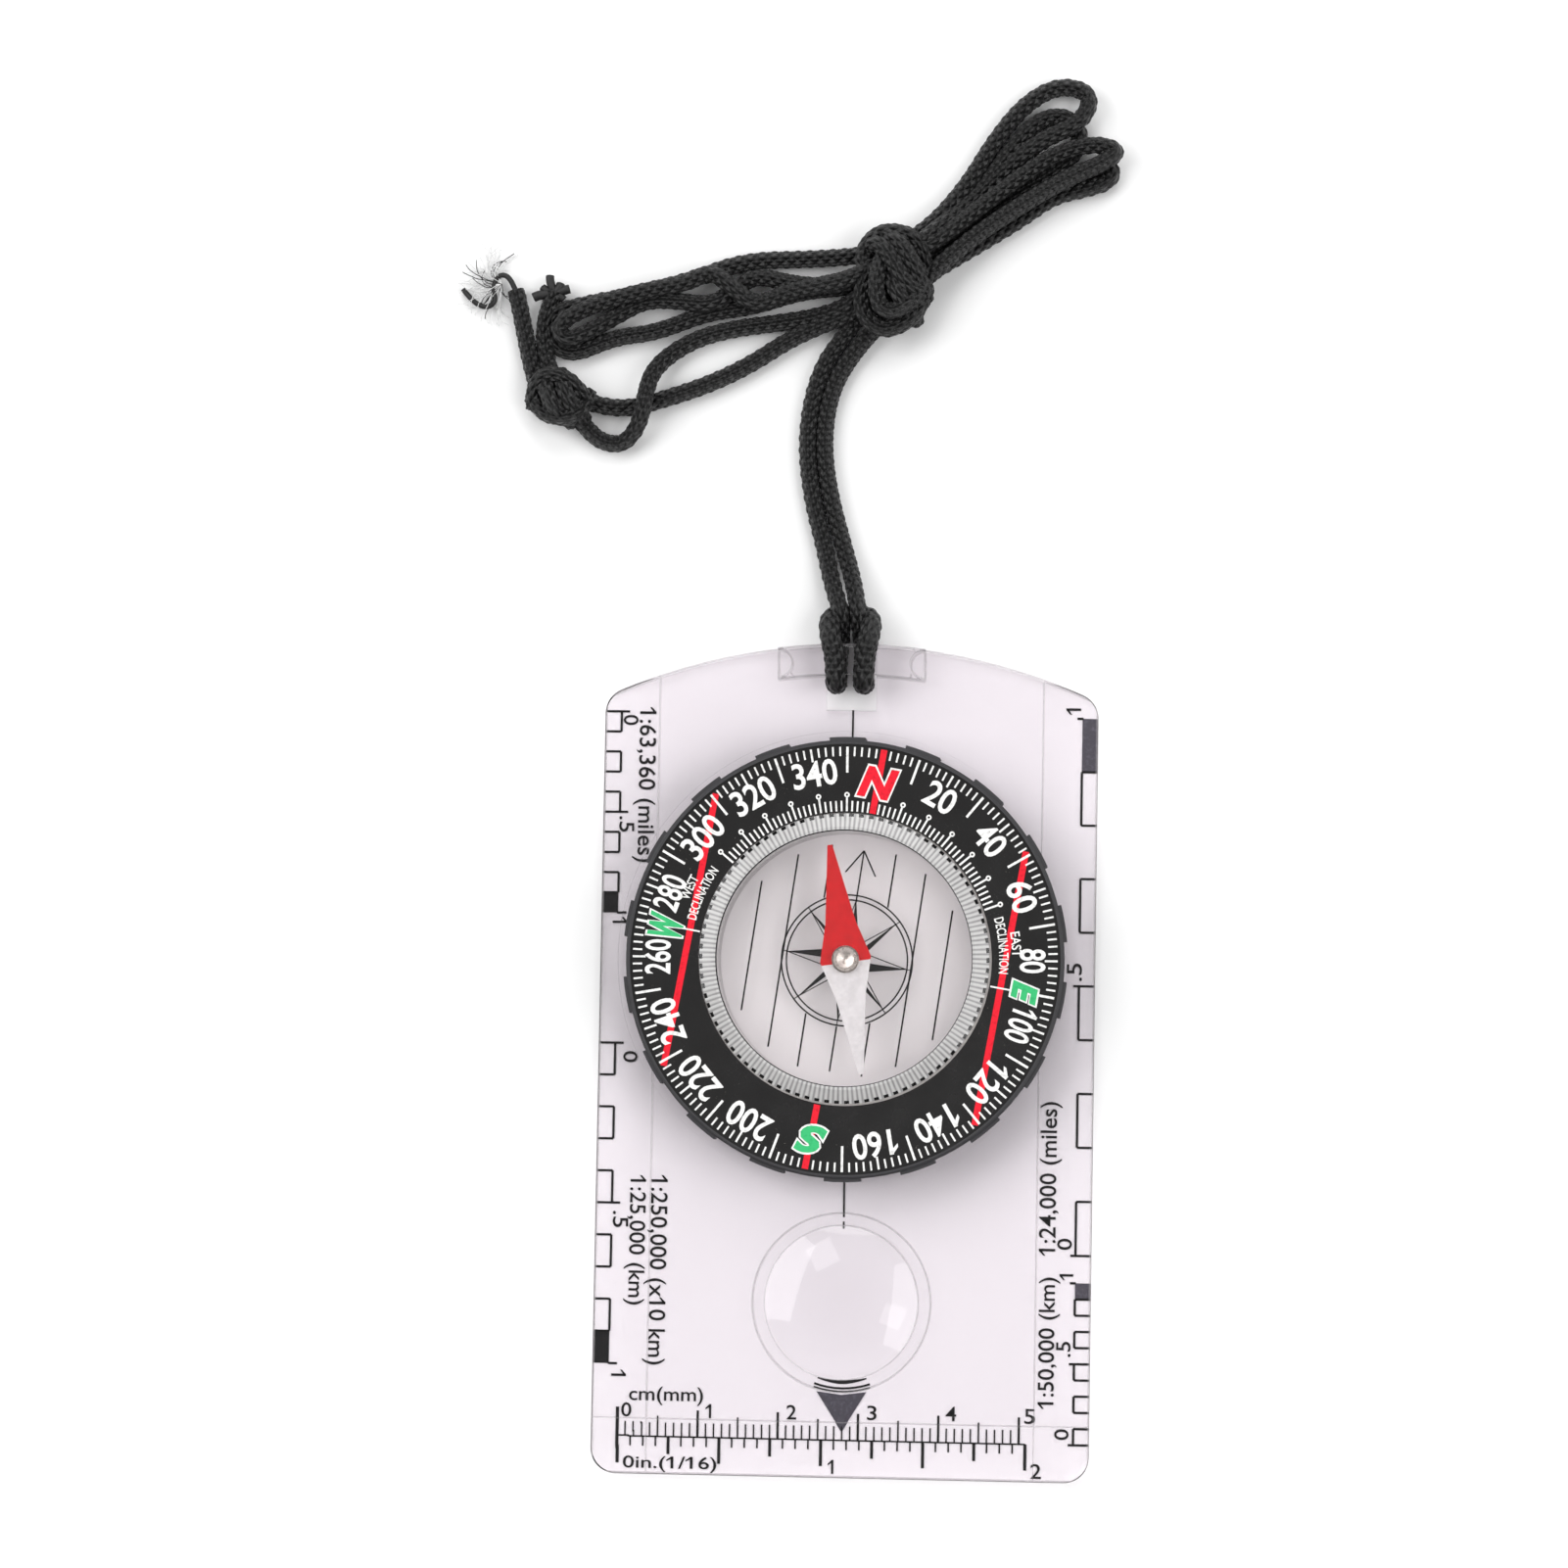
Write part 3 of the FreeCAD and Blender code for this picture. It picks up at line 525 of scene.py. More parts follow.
# The two ends, through the end knot to their tails
looped_end = [
    (4.3, 99.2, 4.8), (-1.0, 94.8, 3.0), (-5.4, 93.6, rest_z), (-10.4, 92.8, rest_z), (-15.5, 92.1, rest_z),
    (-19.8, 91.0, rest_z), (-23.3, 89.1, rest_z), (-25.7, 86.6, 2.3), (-26.5, 83.9, 3.4),
    (-26.9, 81.0, 3.4), (-27.9, 78.7, 2.2), (-29.7, 77.1, rest_z), (-32.4, 77.5, rest_z),
    (-34.6, 79.6, 1.5), (-36.6, 82.4, 2.6), (-39.2, 83.6, 2.4), (-40.6, 84.6, 2.0), (-41.6, 88.0, rest_z),
    (-42.4, 91.7, rest_z), (-43.1, 95.0, rest_z), (-43.6, 96.8, rest_z),
]
straight_end = [
    (4.3, 96.8, 4.8), (-0.6, 93.9, 2.4), (-4.7, 92.6, rest_z), (-8.9, 90.6, rest_z), (-13.5, 87.5, rest_z),
    (-18.8, 84.9, rest_z), (-24.4, 83.0, rest_z), (-29.4, 81.6, rest_z), (-34.0, 82.4, 1.5),
    (-36.4, 83.8, 2.0), (-38.4, 84.8, 2.2), (-39.6, 88.5, rest_z), (-39.9, 92.2, 1.2),
    (-39.2, 95.0, 1.2), (-38.6, 96.6, rest_z),
]


def joined(name, pieces):
    """One object made of several."""
    bpy.ops.object.select_all(action="DESELECT")
    for piece in pieces:
        piece.select_set(True)
    bpy.context.view_layer.objects.active = pieces[0]
    if len(pieces) > 1:
        bpy.ops.object.join()
    pieces[0].name = name
    pieces[0].data.name = name
    return pieces[0]


def spline_points(name, points):
    """Points at an even step along the NURBS spline that has these control points, in millimetres."""
    curve = bpy.data.curves.new(name, "CURVE")
    curve.dimensions = "3D"
    curve.resolution_u = 16
    spline = curve.splines.new("NURBS")
    spline.points.add(len(points) - 1)
    for point, place in zip(spline.points, points):
        point.co = (*(Vector(place) * mm), 1)
    spline.order_u = 3
    spline.use_endpoint_u = True
    holder = bpy.data.objects.new(name, curve)
    bpy.context.collection.objects.link(holder)
    line = bpy.data.meshes.new_from_object(holder)
    track = [v.co.copy() for v in line.vertices]
    bpy.data.objects.remove(holder)
    bpy.data.curves.remove(curve)
    bpy.data.meshes.remove(line)
    return even_points(track, track_step * mm)


def even_points(track, step):
    """The same line with points an even step apart."""
    lengths = [0.0]
    for a, b in zip(track, track[1:]):
        lengths.append(lengths[-1] + (b - a).length)
    count = max(2, round(lengths[-1] / step))
    points, i = [], 0
    for n in range(count + 1):
        goal = lengths[-1] * n / count
        while i < len(track) - 2 and lengths[i + 1] < goal:
            i += 1
        span = max(lengths[i + 1] - lengths[i], 1e-12)
        points.append(track[i].lerp(track[i + 1], (goal - lengths[i]) / span))
    return points


def line_length(points):
    """Length of a line of points."""
    return sum((b - a).length for a, b in zip(points, points[1:]))


def tube_faces(rings, sides):
    """Faces of a tube with closed ends, whose corners are numbered ring by ring."""
    faces = []
    for i in range(len(rings) - 1):
        for s in range(sides):
            t = (s + 1) % sides
            faces.append((i * sides + s, i * sides + t, (i + 1) * sides + t, (i + 1) * sides + s))
    last = (len(rings) - 1) * sides
    return faces + [tuple(range(sides - 1, -1, -1)), tuple(range(last, last + sides))]


def tube_rings(points, sides, radius_at):
    """Rings of a tube along points, carried along without twist. radius_at(point, place along, turn) is its
    radius."""
    side = Vector((0, 0, 1))
    rings, walked = [], 0.0
    for i, point in enumerate(points):
        ahead = (points[min(i + 1, len(points) - 1)] - points[max(i - 1, 0)]).normalized()
        side = (side - ahead * side.dot(ahead)).normalized()
        across = ahead.cross(side)
        if i:
            walked += (point - points[i - 1]).length
        ring = []
        for s in range(sides):
            turn = 2 * math.pi * s / sides
            radius = radius_at(point, walked, turn)
            ring.append(point + (side * math.cos(turn) + across * math.sin(turn)) * radius)
        rings.append((walked, ring))
    return rings


def braided_tube(name, points, swollen_to=0.0, sides=18):
    """A braided cord along points in metres: real stitches in its surface, and a UV map that follows them.
    As far as swollen_to, in millimetres, the cord is pressed flat in its hitch and so looks thicker."""
    def radius_at(point, walked, turn):
        along = walked / (braid_pitch * mm)
        round_it = turn / (2 * math.pi) * braid_strands
        stitch = abs(math.sin(math.pi * (along + round_it)) * math.sin(math.pi * (along - round_it)))
        pressed = min(max((swollen_to * mm - walked) / (3 * mm), 0.0), 1.0)
        radius = cord_diameter / 2 * mm
        radius += min(pressed_share * radius, max(point.z - 0.05 * mm - radius, 0.0)) * pressed
        return radius - stitch_depth * mm + stitch_depth * mm * 1.6 * stitch

    rings = tube_rings(points, sides, radius_at)
    vertices = [place for _, ring in rings for place in ring]
    uvs = []
    for i in range(len(rings) - 1):
        u0, u1 = (rings[k][0] / (braid_pitch * mm) for k in (i, i + 1))
        for s in range(sides):
            v0, v1 = s / sides, (s + 1) / sides
            uvs += [(u0, v0), (u0, v1), (u1, v1), (u1, v0)]
    uvs += [(0.0, s / sides) for s in range(2 * sides)]
    return mesh_object(name, vertices, tube_faces(rings, sides), braid, uvs)


def mesh_object(name, vertices, faces, material, uvs=None):
    """A smooth-shaded mesh with its place in its vertices."""
    mesh = bpy.data.meshes.new(name)
    mesh.from_pydata(vertices, [], faces)
    if uvs:
        layer = mesh.uv_layers.new(name="UVMap")
        layer.data.foreach_set("uv", [value for uv in uvs for value in uv])
    mesh.materials.append(material)
    mesh.polygons.foreach_set("use_smooth", [True] * len(mesh.polygons))
    mesh.update()
    piece = bpy.data.objects.new(name, mesh)
    bpy.context.collection.objects.link(piece)
    return piece


# Strands seen on the outside of each knot, each tucked in at both ends
main_knot_strands = (
    [(1.6, 97.6, 4.6), (0.6, 99.6, 4.4), (0.8, 102.0, 4.2), (2.6, 103.9, 4.4), (5.2, 104.0, 4.8),
     (7.6, 102.9, 4.8), (8.4, 100.4, 4.2), (8.5, 98.0, 3.2), (7.8, 95.8, 2.2)],
    [(0.6, 100.6, 2.6), (1.6, 102.6, 4.8), (3.2, 101.9, 6.2), (4.6, 99.8, 6.8), (5.8, 97.5, 6.7),
     (7.4, 96.4, 5.6), (8.8, 96.8, 3.4)],
    [(2.8, 104.0, 3.0), (4.2, 103.2, 5.6), (5.7, 101.8, 6.6), (7.0, 99.7, 6.6), (8.0, 97.6, 5.4),
     (8.6, 95.6, 3.2)],
    [(2.0, 100.0, 4.8), (0.8, 97.6, 4.8), (0.4, 95.4, 4.2), (1.1, 93.0, 3.8), (3.3, 91.5, 3.8),
     (5.8, 92.2, 4.4), (7.8, 94.1, 4.4), (8.5, 96.2, 3.2)],
    [(3.4, 101.4, 5.0), (2.6, 98.8, 6.3), (2.4, 96.2, 6.4), (3.0, 94.0, 5.9), (4.9, 93.6, 5.9),
     (6.6, 94.9, 5.9), (8.0, 96.2, 4.2)],
    [(4.2, 99.0, 5.0), (4.6, 96.9, 6.4), (5.6, 95.2, 6.3), (7.0, 93.9, 4.2), (7.4, 93.0, 2.4)],
)
end_knot_strands = (
    [(-40.8, 81.6, 2.0), (-41.0, 84.0, 3.0), (-39.4, 85.7, 3.6), (-37.2, 85.5, 4.0), (-35.2, 84.0, 3.8),
     (-34.0, 82.2, 2.2)],
    [(-41.1, 83.0, 2.0), (-40.0, 81.1, 3.0), (-37.8, 80.2, 3.6), (-35.6, 80.4, 3.6), (-34.1, 82.0, 2.8),
     (-34.0, 83.6, 1.6)],
    [(-39.4, 85.8, 2.2), (-39.2, 83.6, 4.2), (-38.2, 81.6, 4.6), (-36.8, 80.2, 3.2), (-36.0, 79.9, 1.9)],
    [(-37.4, 85.9, 2.0), (-37.0, 84.2, 4.3), (-36.2, 82.3, 4.6), (-35.0, 80.8, 3.0), (-34.4, 80.2, 1.8)],
)


def knot_of(name, strands, node):
    """One knot from its outer strands, in place of a CAD node."""
    knot = joined(name, [braided_tube(name, spline_points(name, points)) for points in strands])
    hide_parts(node)
    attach(knot, "baseplate")
    return knot


def neck_cord():
    """The two halves of the neck cord and the knots that hold them."""
    left = left_hitch + left_strand + loop_low + loop_left_outer + loop_outer + looped_end
    right = right_hitch + right_strand + loop_middle + loop_left_inner + loop_inner + straight_end
    main_knot = knot_of("lanyard_main_knot_strands", main_knot_strands, "lanyard_main_knot")
    end_knot = knot_of("lanyard_end_knot_strands", end_knot_strands, "lanyard_end_knot")
    halves = (
        ("lanyard_left_half", left, (main_knot, end_knot),
         ("lanyard_hitch", "lanyard_strand_left", "lanyard_end_looped", "lanyard_tail_frayed",
          "lanyard_hank_right")),
        ("lanyard_right_half", right, (),
         ("lanyard_strand_right", "lanyard_end_straight", "lanyard_tail_cut", "lanyard_hank_left")),
    )
    for name, points, pieces, replaced in halves:
        track = spline_points(name, points)
        half = braided_tube(name, track, swollen_to=pressed_reach)
        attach(half, "baseplate")
        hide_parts(*replaced)
        print(name, "length", round(line_length(track) / mm, 1), "mm")


neck_cord()


# Worn ends of the cord

def fine_tube(name, points, radius_mm, material, sides=5):
    """A plain fibre along points in metres, with closed ends."""
    rings = tube_rings(points, sides, lambda point, walked, turn: radius_mm * mm)
    vertices = [place for _, ring in rings for place in ring]
    return mesh_object(name, vertices, tube_faces(rings, sides), material)


def wisp(name, root, heading, reach, curl, radius_mm, material, draw):
    """One loose fibre: it leaves the root along a heading in degrees and curls as it goes."""
    place, direction, points = Vector(root), math.radians(heading), [Vector(root)]
    steps = 8
    for n in range(steps):
        direction += curl / steps + draw.uniform(-0.35, 0.35)
        place = place + Vector((math.cos(direction), math.sin(direction), 0)) * (reach / steps)
        place.z = min(max(place.z + draw.uniform(-0.35, 0.3), 0.15), 2.4)
        points.append(place.copy())
    return fine_tube(name, spline_points(name, points), radius_mm, material)


def worn_ends():
    """The frayed end with its bared core, and the end that was melted to a small blob."""
    draw = random.Random(7)
    root = (-45.4, 97.6, 1.1)
    pale = [wisp(f"pale_{n}", root, draw.uniform(120, 245), draw.uniform(3.0, 6.5),
                 draw.uniform(-2.2, 2.2), 0.045, fibre_pale, draw) for n in range(60)]
    dark = [wisp(f"dark_{n}", root, draw.uniform(150, 260), draw.uniform(3.0, 5.5),
                 draw.uniform(-3.0, 3.0), 0.055, fibre_black, draw) for n in range(14)]
    curl = [(-43.5, 96.4, 1.2), (-44.2, 98.4, 1.4), (-45.7, 98.9, 1.3), (-46.6, 97.3, 1.0),
            (-46.1, 95.4, 0.9), (-47.3, 94.5, 0.8), (-49.2, 95.4, 0.7), (-50.4, 97.0, 0.6)]
    dark.append(fine_tube("core_curl", spline_points("core_curl", curl), 0.34, fibre_black, 8))
    blob_root = (-38.6, 96.3, 1.2)
    spikes = []
    for heading, reach, thick in ((190, 2.7, 0.62), (150, 1.8, 0.5), (105, 2.4, 0.55), (60, 1.5, 0.6),
                                  (20, 2.0, 0.6), (330, 1.4, 0.5)):
        turn = math.radians(heading)
        tip = Vector(blob_root) + Vector((math.cos(turn), math.sin(turn), 0.1)) * reach
        bend = Vector((draw.uniform(-0.5, 0.5), draw.uniform(-0.5, 0.5), 0.3))
        line = spline_points("spike", [blob_root, Vector(blob_root).lerp(tip, 0.5) + bend, tip])
        spikes.append(fine_tube("spike", line, thick, fibre_black, 8))
    return (joined("lanyard_fray_pale", pale), joined("lanyard_fray_dark", dark),
            joined("lanyard_melted_end", spikes))


# Films of ink

def inked(piece, material):
    """Gives the flat outline that is open in edit mode the thickness and the material of ink."""
    bpy.ops.mesh.select_all(action="SELECT")
    bpy.ops.mesh.extrude_region_move(TRANSFORM_OT_translate={"value": (0, 0, ink * mm)})
    bpy.ops.mesh.select_all(action="SELECT")
    bpy.ops.mesh.normals_make_consistent(inside=False)
    bpy.ops.object.mode_set(mode="OBJECT")
    piece.data.materials.append(material)
    return piece


def film(corners, material, divisions=0):
    """A film of ink with these corners, in millimetres, extruded to its thickness."""
    bpy.ops.object.select_all(action="DESELECT")
    bpy.ops.mesh.primitive_circle_add(vertices=len(corners), radius=mm, fill_type="NGON")
    piece = bpy.context.object
    for vertex, (x, y) in zip(piece.data.vertices, corners):
        vertex.co = (x * mm, y * mm, 0)
    bpy.ops.object.mode_set(mode="EDIT")
    bpy.ops.mesh.select_all(action="SELECT")
    if divisions:
        bpy.ops.mesh.subdivide(number_cuts=divisions)
    return inked(piece, material)


def stroke(start, end, width, material, divisions=0):
    """A straight printed line of a given width."""
    a, b = Vector(start), Vector(end)
    side = Vector((a.y - b.y, b.x - a.x)).normalized() * width / 2
    return film([a + side, a - side, b - side, b + side], material, divisions)


def rectangle(x0, x1, y0, y1, material):
    """A filled printed rectangle."""
    return film([(x0, y0), (x1, y0), (x1, y1), (x0, y1)], material)


def arc_band(centre, radius, width, start, end, material, taper=0.0):
    """A printed arc. Angles are in degrees from +X; with a taper it thins towards its ends."""
    steps = max(6, round(abs(end - start) / 5))
    outer, inner = [], []
    for n in range(steps + 1):
        share = n / steps
        angle = math.radians(start + (end - start) * share)
        half = width / 2 * (1 - taper * abs(2 * share - 1))
        for side, reach in ((outer, radius + half), (inner, radius - half)):
            side.append((centre[0] + reach * math.cos(angle), centre[1] + reach * math.sin(angle)))
    return film(outer + inner[::-1], material)


def circle_line(radius, width, material):
    """A printed circle about the origin."""
    bpy.ops.object.select_all(action="DESELECT")
    bpy.ops.mesh.primitive_circle_add(vertices=96, radius=(radius + width / 2) * mm, fill_type="NOTHING")
    piece = bpy.context.object
    bpy.ops.object.mode_set(mode="EDIT")
    bpy.ops.mesh.select_all(action="SELECT")
    bpy.ops.mesh.extrude_edges_move()
    shrink = (radius - width / 2) / (radius + width / 2)
    bpy.ops.transform.resize(value=(shrink, shrink, 1))
    return inked(piece, material)


def plain_words(words, weight, slant):
    """Words as a mesh of the text's own units."""
    bpy.ops.object.select_all(action="DESELECT")
    bpy.ops.object.text_add()
    text = bpy.context.object
    text.data.body = words
    text.data.offset = weight
    text.data.shear = slant
    text.data.resolution_u = 4
    text.data.extrude = ink
    bpy.ops.object.convert(target="MESH")
    return bpy.context.object


def flag_of_one(words, position, weight):
    """The flag that a figure 1 has at its top left, for the 1 at that position of the words."""
    before = plain_words(words[:position + 1], weight, 0.0)
    right = max(v.co.x for v in before.data.vertices)
    top = max(v.co.y for v in before.data.vertices if v.co.x > right - 0.02)
    bpy.data.objects.remove(before)
    thick = 0.075 + 1.6 * max(weight, 0.0)
    corners = [(right - thick * 0.4, top), (right - thick, top), (right - 0.2 - thick, top - 0.19),
               (right - 0.2 - thick, top - 0.19 - thick), (right - thick * 0.4, top - thick)]
    flag = film(corners, white_ink)
    flag.data.transform(Matrix.Scale(1 / mm, 4))
    flag.data.materials.clear()
    return flag


def lettering(words, width, height, material, weight=0.0, slant=0.0, grow=0.0):
    """Words whose drawn width and height are given in millimetres, centred on the origin.
    grow widens the outline all round, for a border behind the same words."""
    flags = [flag_of_one(words, n, weight) for n, letter in enumerate(words) if letter == "1"]
    piece = joined("words", [plain_words(words, weight, slant)] + flags)
    for axis, size in ((0, width + 2 * grow), (1, height + 2 * grow)):
        values = [v.co[axis] for v in piece.data.vertices]
        low, high = min(values), max(values)
        for v in piece.data.vertices:
            v.co[axis] = ((v.co[axis] - low) / (high - low) - 0.5) * size * mm
    for v in piece.data.vertices:
        v.co.z = ink * mm if v.co.z > 0 else 0.0
    piece.data.materials.clear()
    piece.data.materials.append(material)
    for face in piece.data.polygons:
        face.material_index = 0
    return piece


def moved(piece, x=0.0, y=0.0, turn=0.0, lift=0.0):
    """Turns a piece about the origin by degrees, then moves it, all within its mesh. Millimetres."""
    turned = Matrix.Rotation(math.radians(turn), 4, "Z")
    piece.data.transform(Matrix.Translation((x * mm, y * mm, lift * mm)) @ turned)
    return piece


def copied(piece):
    """A copy of a piece with its own mesh."""
    twin = piece.copy()
    twin.data = piece.data.copy()
    bpy.context.collection.objects.link(twin)
    return twin


def face_z(radius):
    """Height of the bezel's printed face at a distance from its axis, in millimetres."""
    return window_z + (face_outer_z - window_z) * (radius - window_radius) / (face_outer - window_radius)


def laid_on_bezel(piece, lift=0.0):
    """Drapes a flat print on the bezel's sloping face and turns it to where the bezel rests."""
    for v in piece.data.vertices:
        v.co.z += (face_z(math.hypot(v.co.x, v.co.y) / mm) - ink / 2 + lift) * mm
    return moved(piece, 0, dial_y, bezel_turn)


def at_bearing(piece, radius, bearing):
    """Puts a piece that is centred on the origin at a radius and a bearing, its top outwards."""
    return moved(moved(piece, 0, radius), turn=-bearing)


def bent_words(words, width, height, radius, bearing, material):
    """Words that follow the dial's circle."""
    piece = lettering(words, width, height, material, weight=0.012)
    for v in piece.data.vertices:
        angle = math.radians(bearing) + v.co.x / (radius * mm)
        distance = radius * mm + v.co.y
        v.co.x, v.co.y = distance * math.sin(angle), distance * math.cos(angle)
    return piece


def dial_print():
    """Degree ring, numerals, cardinal letters, chords and declination scale on the bezel."""
    tick_end = 26.35
    long_tick = stroke((0, tick_end - 3.2), (0, tick_end), 0.3, white_ink)
    middle_tick = stroke((0, tick_end - 1.6), (0, tick_end), 0.25, white_ink)
    short_tick = stroke((0, tick_end - 1.15), (0, tick_end), 0.22, white_ink)
    ticks = []
    for bearing in range(2, 360, 2):
        if bearing == 180:
            continue
        model = {10: long_tick, 0: middle_tick}.get(bearing % 20, short_tick)
        ticks.append(moved(copied(model), turn=-bearing))
    inner_start = window_radius + 0.15
    inner_short = stroke((0, inner_start), (0, inner_start + 1.3), 0.22, white_ink)
    inner_long = stroke((0, inner_start), (0, inner_start + 1.8), 0.24, white_ink)
    dot = arc_band((0, inner_start + 2.05), 0.24, 0.2, 0, 360, white_ink)
    for bearing in range(-60, 61, 2):
        if bearing == 0:
            continue
        ticks.append(moved(copied(inner_short if bearing % 10 else inner_long), turn=-bearing))
        if bearing % 10 == 0:
            ticks.append(moved(copied(dot), turn=-bearing))
    for bearing in (90, 270):
        ticks.append(moved(stroke((0, inner_start), (0, 22.0), 0.2, white_ink), turn=-bearing))
    for model in (long_tick, middle_tick, short_tick, inner_short, inner_long, dot):
        bpy.data.objects.remove(model)
    numerals = []
    for bearing in range(20, 360, 20):
        if bearing == 180:
            continue
        crowded = bearing in (80, 100, 260, 280)
        width = {(2, False): 3.9, (2, True): 3.0, (3, False): 5.6, (3, True): 4.3}[len(str(bearing)), crowded]
        numeral = lettering(str(bearing), width, 3.25, white_ink, weight=0.018)
        numerals.append(at_bearing(numeral, 23.25, bearing))
    for side, word in ((284, "WEST"), (74.5, "EAST")):
        numerals.append(bent_words("DECLINATION", 7.0, 1.2, 19.7, side, white_ink))
        numerals.append(bent_words(word, 3.1, 1.2, 21.3, side, white_ink))
    chord_x, chord_end, mark_width = 19.6, 17.2, 0.8
    reds = [stroke((side * chord_x, -chord_end), (side * chord_x, chord_end), mark_width, red_ink, 5)
            for side in (-1, 1)]
    for turn in (0, 180):
        reds.append(moved(stroke((0, inner_start), (0, 26.4), mark_width, red_ink, 3), turn=turn))
    borders, greens, letters_red = [], [], []
    letters = (("N", 0, 4.8, 3.9, 22.2, red_ink, letters_red), ("E", 90, 2.7, 3.2, 22.6, green_ink, greens),
               ("S", 180, 3.8, 3.5, 22.7, green_ink, greens), ("W", 270, 3.0, 4.3, 22.6, green_ink, greens))
    for word, bearing, width, height, radius, material, group in letters:
        border = lettering(word, width, height, white_ink, 0.09, 0.22, 0.24)
        borders.append(at_bearing(border, radius, bearing))
        group.append(at_bearing(lettering(word, width, height, material, 0.05, 0.22), radius, bearing))
    layers = (
        ("dial_red_lines", reds, 0.0), ("dial_degree_ticks", ticks, 0.01), ("dial_numerals", numerals, 0.02),
        ("dial_letter_borders", borders, 0.03), ("dial_letters_green", greens, 0.05),
        ("dial_letter_red", letters_red, 0.05),
    )
    for name, pieces, lift in layers:
        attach(laid_on_bezel(joined(name, pieces), lift), "bezel")


def capsule_print():
    """Meridian lines, orienting arrow and rose on the capsule's floor."""
    line = 0.22
    outside = 14.05
    ring_radius = 8.2
    strokes = []
    for x in (-4.04, 0.0, 4.04):
        for way in (-1, 1):
            if x == 0.0 and way == 1:
                continue
            start = math.sqrt((ring_radius + 0.15) ** 2 - x * x)
            strokes.append(stroke((x, way * start), (x, way * outside), line, black_ink))
    for x, reach in ((8.07, 12.2), (12.1, 8.2)):
        for side in (-1, 1):
            strokes.append(stroke((side * x, -reach), (side * x, reach), line, black_ink))
    strokes.append(stroke((0, 7.3), (0, 13.9), 0.2, black_ink))
    for side in (-1, 1):
        strokes.append(stroke((side * 1.9, 10.9), (0, 13.9), 0.2, black_ink))
    for radius in (ring_radius, ring_radius - 0.62):
        strokes.append(circle_line(radius, 0.2, black_ink))
    tip = 7.6
    for turn in range(0, 360, 45):
        diagonal = turn % 90
        shoulder_x, shoulder_y = (0.62, 2.9) if diagonal else (1.05, 2.7)
        fills = film([(0, 0.6), (shoulder_x, shoulder_y), (0, tip)], black_ink)
        outline = stroke((-shoulder_x, shoulder_y), (0, tip), 0.13, black_ink)
        middle = stroke((0, 2.0), (0, tip), 0.12, black_ink)
        foot = stroke((-shoulder_x, shoulder_y), (0, 0.8), 0.12, black_ink)
        mark = stroke((0, tip), (0, ring_radius), 0.13, black_ink)
        strokes += [moved(piece, turn=turn) for piece in (fills, outline, middle, foot, mark)]
    rose = joined("capsule_rose_and_meridians", strokes)
    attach(moved(rose, 0, dial_y, capsule_turn, capsule_floor_top), "capsule")


def map_scale(edge_x, inward, zero_y, one_y, filled, label_x):
    """Tenths of a map scale along the plate's edge: open boxes, the last one filled, longer marks at 0, .5, 1."""
    line = 0.29
    tenth = (one_y - zero_y) / 10
    inner_x = edge_x + inward * 2.05
    pieces = []
    for n in range(0, 10, 2):
        a, b = zero_y + n * tenth, zero_y + (n + 1) * tenth
        pieces.append(stroke((inner_x, a), (inner_x, b), line, black_ink))
        for y in (a, b):
            pieces.append(stroke((edge_x + inward * 0.15, y), (inner_x, y), line, black_ink))
    last, end = zero_y + 9 * tenth, one_y
    low_x, high_x = sorted((edge_x + inward * 0.1, inner_x))
    pieces.append(rectangle(low_x, high_x, min(last, end), max(last, end), filled))
    for n in (0, 5, 10):
        y = zero_y + n * tenth
        pieces.append(stroke((inner_x - inward * 0.1, y), (label_x, y), line, black_ink))
    return pieces


def ruler():
    """Centimetres and millimetres above the line, inches and sixteenths below it."""
    zero_x, line_y, inch = -27.72, -47.3, 25.4
    pieces = [stroke((zero_x, line_y), (zero_x + 2 * inch, line_y), 0.2, black_ink),
              stroke((zero_x, -43.8), (zero_x, -50.65), 0.4, black_ink)]
    for n in range(1, 51):
        if n % 10 == 0:
            reach, width = 3.25, 0.28
        elif n % 5 == 0:
            reach, width = 2.5, 0.2
        else:
            reach, width = 1.75, 0.18
        pieces.append(stroke((zero_x + n, line_y), (zero_x + n, line_y + reach), width, black_ink))
    for n in range(1, 33):
        if n % 8 == 0:
            reach, width = 3.25, 0.38
        elif n % 4 == 0:
            reach, width = 2.2, 0.36
        else:
            reach, width = 1.2, 0.2
        x = zero_x + n * inch / 16
        pieces.append(stroke((x, line_y), (x, line_y - reach), width, black_ink))
    return pieces


def words_in(words, x0, x1, y0, y1, turn=0):
    """Words that fill a rectangle of the plate, read at a turn."""
    width, height = (x1 - x0, y1 - y0) if turn == 0 else (y1 - y0, x1 - x0)
    return moved(lettering(words, width, height, black_ink, weight=0.006), (x0 + x1) / 2, (y0 + y1) / 2, turn)


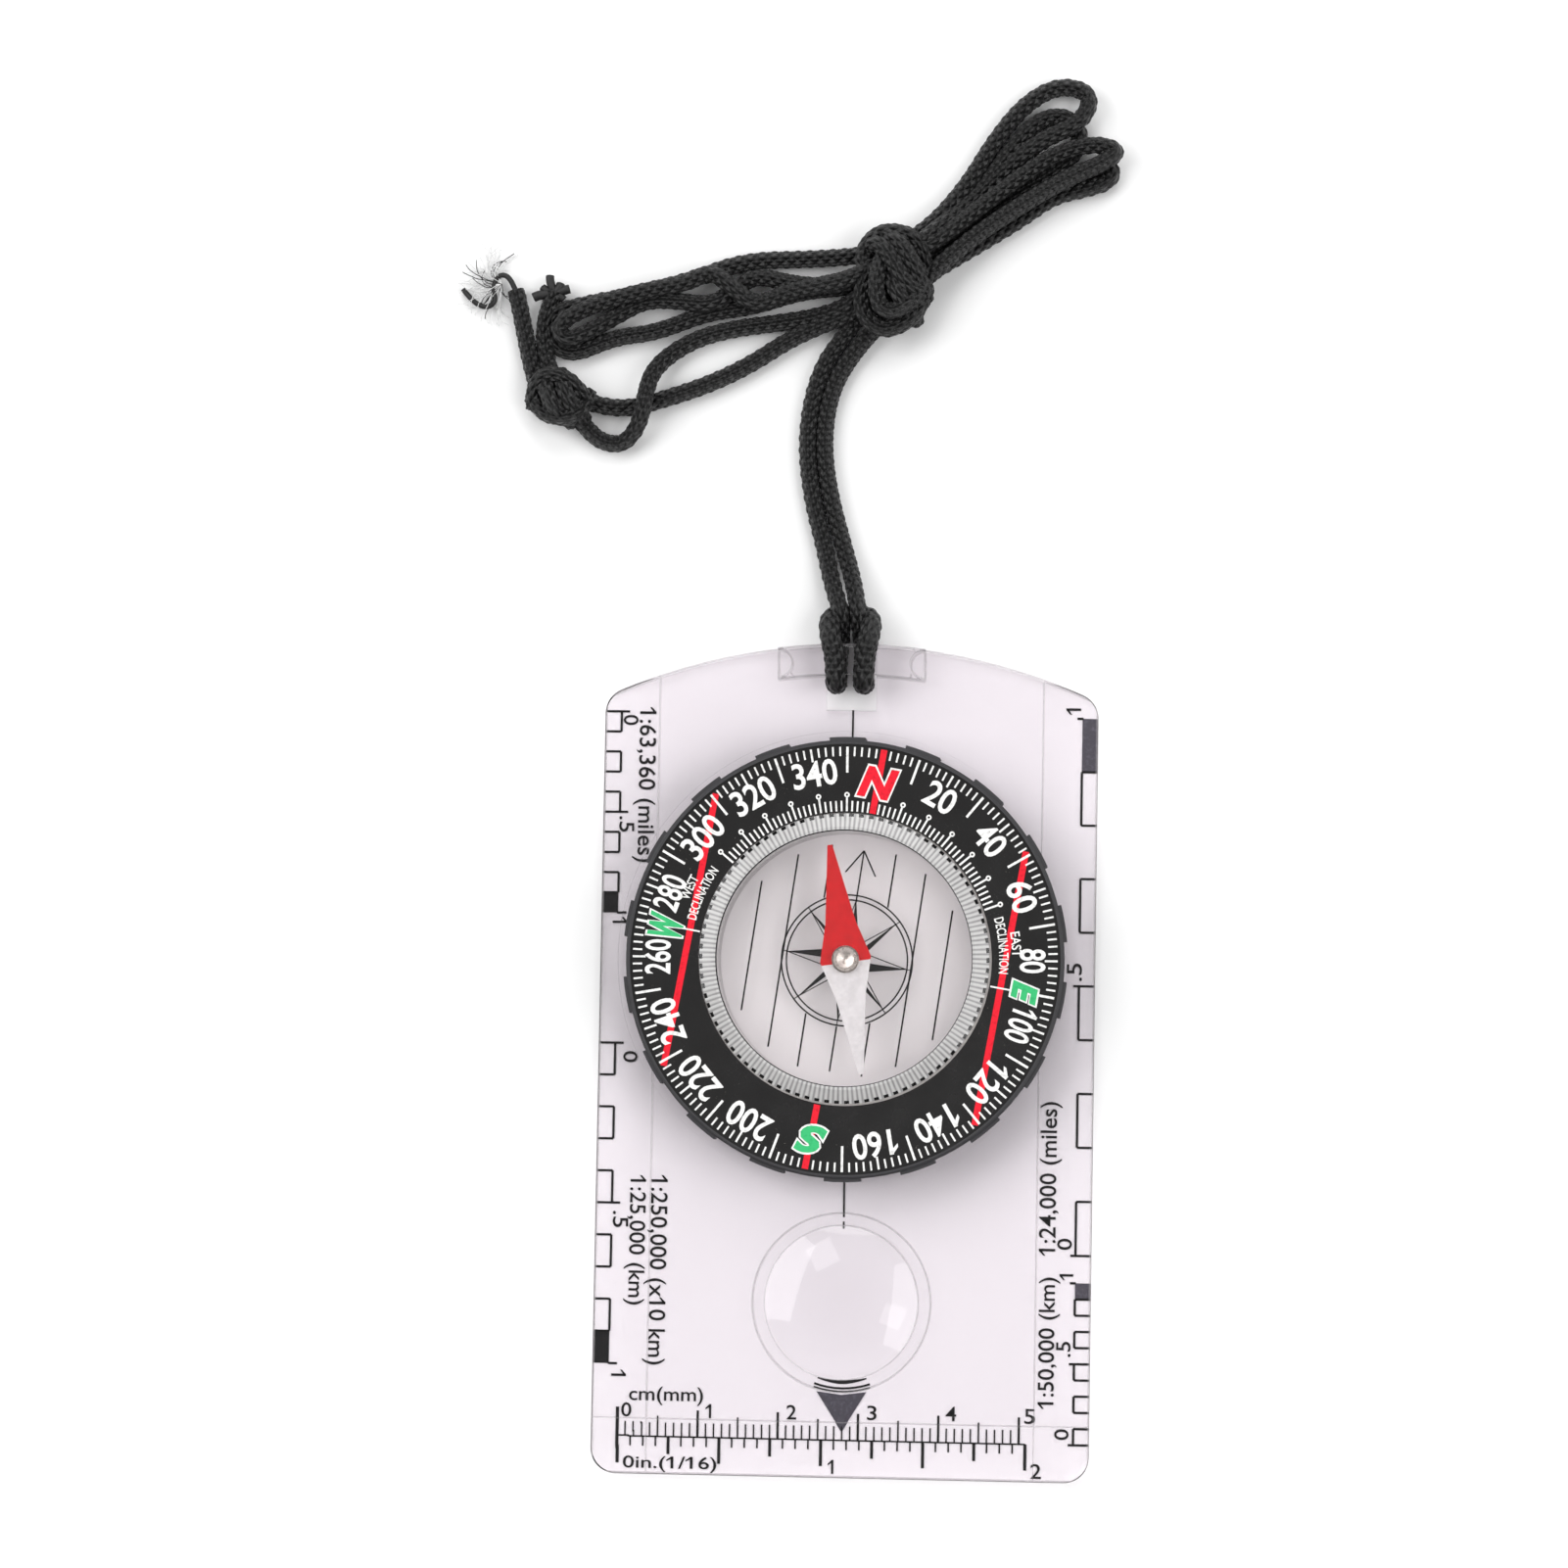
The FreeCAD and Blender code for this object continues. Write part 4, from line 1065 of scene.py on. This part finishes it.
def plate_print():
    """Map scales, ruler, index lines and the pointer under the magnifier, printed under the plate."""
    left, right = -90, 90
    edge = box_mm("baseplate")[1].x
    pieces = map_scale(-edge, 1, 43.33, 17.93, black_ink, -27.9)
    pieces += map_scale(-edge, 1, 1.58, -38.42, black_ink, -27.9)
    grey = map_scale(edge, -1, -23.96, 43.1, grey_ink, 28.3)
    grey += map_scale(edge, -1, -47.36, -27.36, grey_ink, 28.3)
    pieces += ruler()
    labels = (
        ("1:63,360 (miles)", -27.3, -24.5, 24.3, 43.9, left), ("0", -28.7, -26.8, 41.6, 42.9, left),
        (".5", -29.0, -27.1, 28.1, 30.1, left), ("1", -29.6, -27.8, 16.6, 17.4, left),
        ("0", -27.9, -26.1, -0.85, 0.55, left), (".5", -28.8, -26.85, -21.5, -19.45, left),
        ("1", -28.6, -26.75, -40.0, -39.2, left),
        ("1:250,000 (x10 km)", -24.75, -22.0, -38.5, -14.9, left),
        ("1:25,000 (km)", -27.3, -24.65, -31.1, -14.95, left),
        ("1:24,000 (miles)", 24.35, 27.1, -24.0, -4.9, right),
        ("1:50,000 (km)", 24.45, 27.1, -42.95, -26.7, right),
        ("1", 26.9, 28.75, 43.6, 44.4, right), (".5", 27.5, 29.3, 10.2, 12.4, right),
        ("0", 26.65, 28.5, -23.25, -21.85, right), ("1", 27.0, 28.7, -27.0, -26.25, right),
        (".5", 26.7, 28.5, -36.5, -34.6, right), ("0", 26.6, 28.4, -46.75, -45.4, right),
        ("cm(mm)", -26.3, -17.1, -43.5, -41.2, 0), ("0in.(1/16)", -27.0, -15.3, -51.75, -49.75, 0),
        ("0", -27.24, -25.97, -45.0, -43.24, 0), ("1", -16.75, -16.05, -44.97, -43.23, 0),
        ("2", -6.64, -5.42, -44.92, -43.12, 0), ("3", 3.4, 4.58, -44.8, -43.0, 0),
        ("4", 13.18, 14.5, -44.7, -42.9, 0), ("5", 22.95, 24.2, -44.85, -43.0, 0),
        ("1", -1.4, -0.7, -51.5, -49.75, 0), ("2", 23.8, 25.1, -51.55, -49.7, 0),
    )
    pieces += [words_in(*label) for label in labels]
    pieces.append(stroke((0.2, 43.7), (0.2, 38.5), 0.22, black_ink))
    for high, low in ((-14.5, -19.7), (-20.25, -20.7), (-21.05, -21.4)):
        pieces.append(stroke((0.1, high), (0.1, low), 0.22, black_ink))
    lens_centre = (0.2, lens_y)
    pieces.append(arc_band(lens_centre, 9.85, 0.6, 252, 288, black_ink, 0.75))
    pieces.append(arc_band(lens_centre, 10.65, 0.26, 251, 289, black_ink))
    pieces.append(arc_band(lens_centre, 11.05, 0.2, 251.5, 288.5, black_ink))
    arrow = [(-2.95, -41.35), (0.15, -41.75), (3.25, -41.35), (0.25, -46.3)]
    grey.append(film(arrow, grey_ink))
    under = 0.02
    for name, group in (("plate_print_black", pieces), ("plate_print_grey", grey)):
        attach(moved(joined(name, group), lift=under), "baseplate")


for worn_end in worn_ends():
    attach(worn_end, "baseplate")
dial_print()
capsule_print()
plate_print()
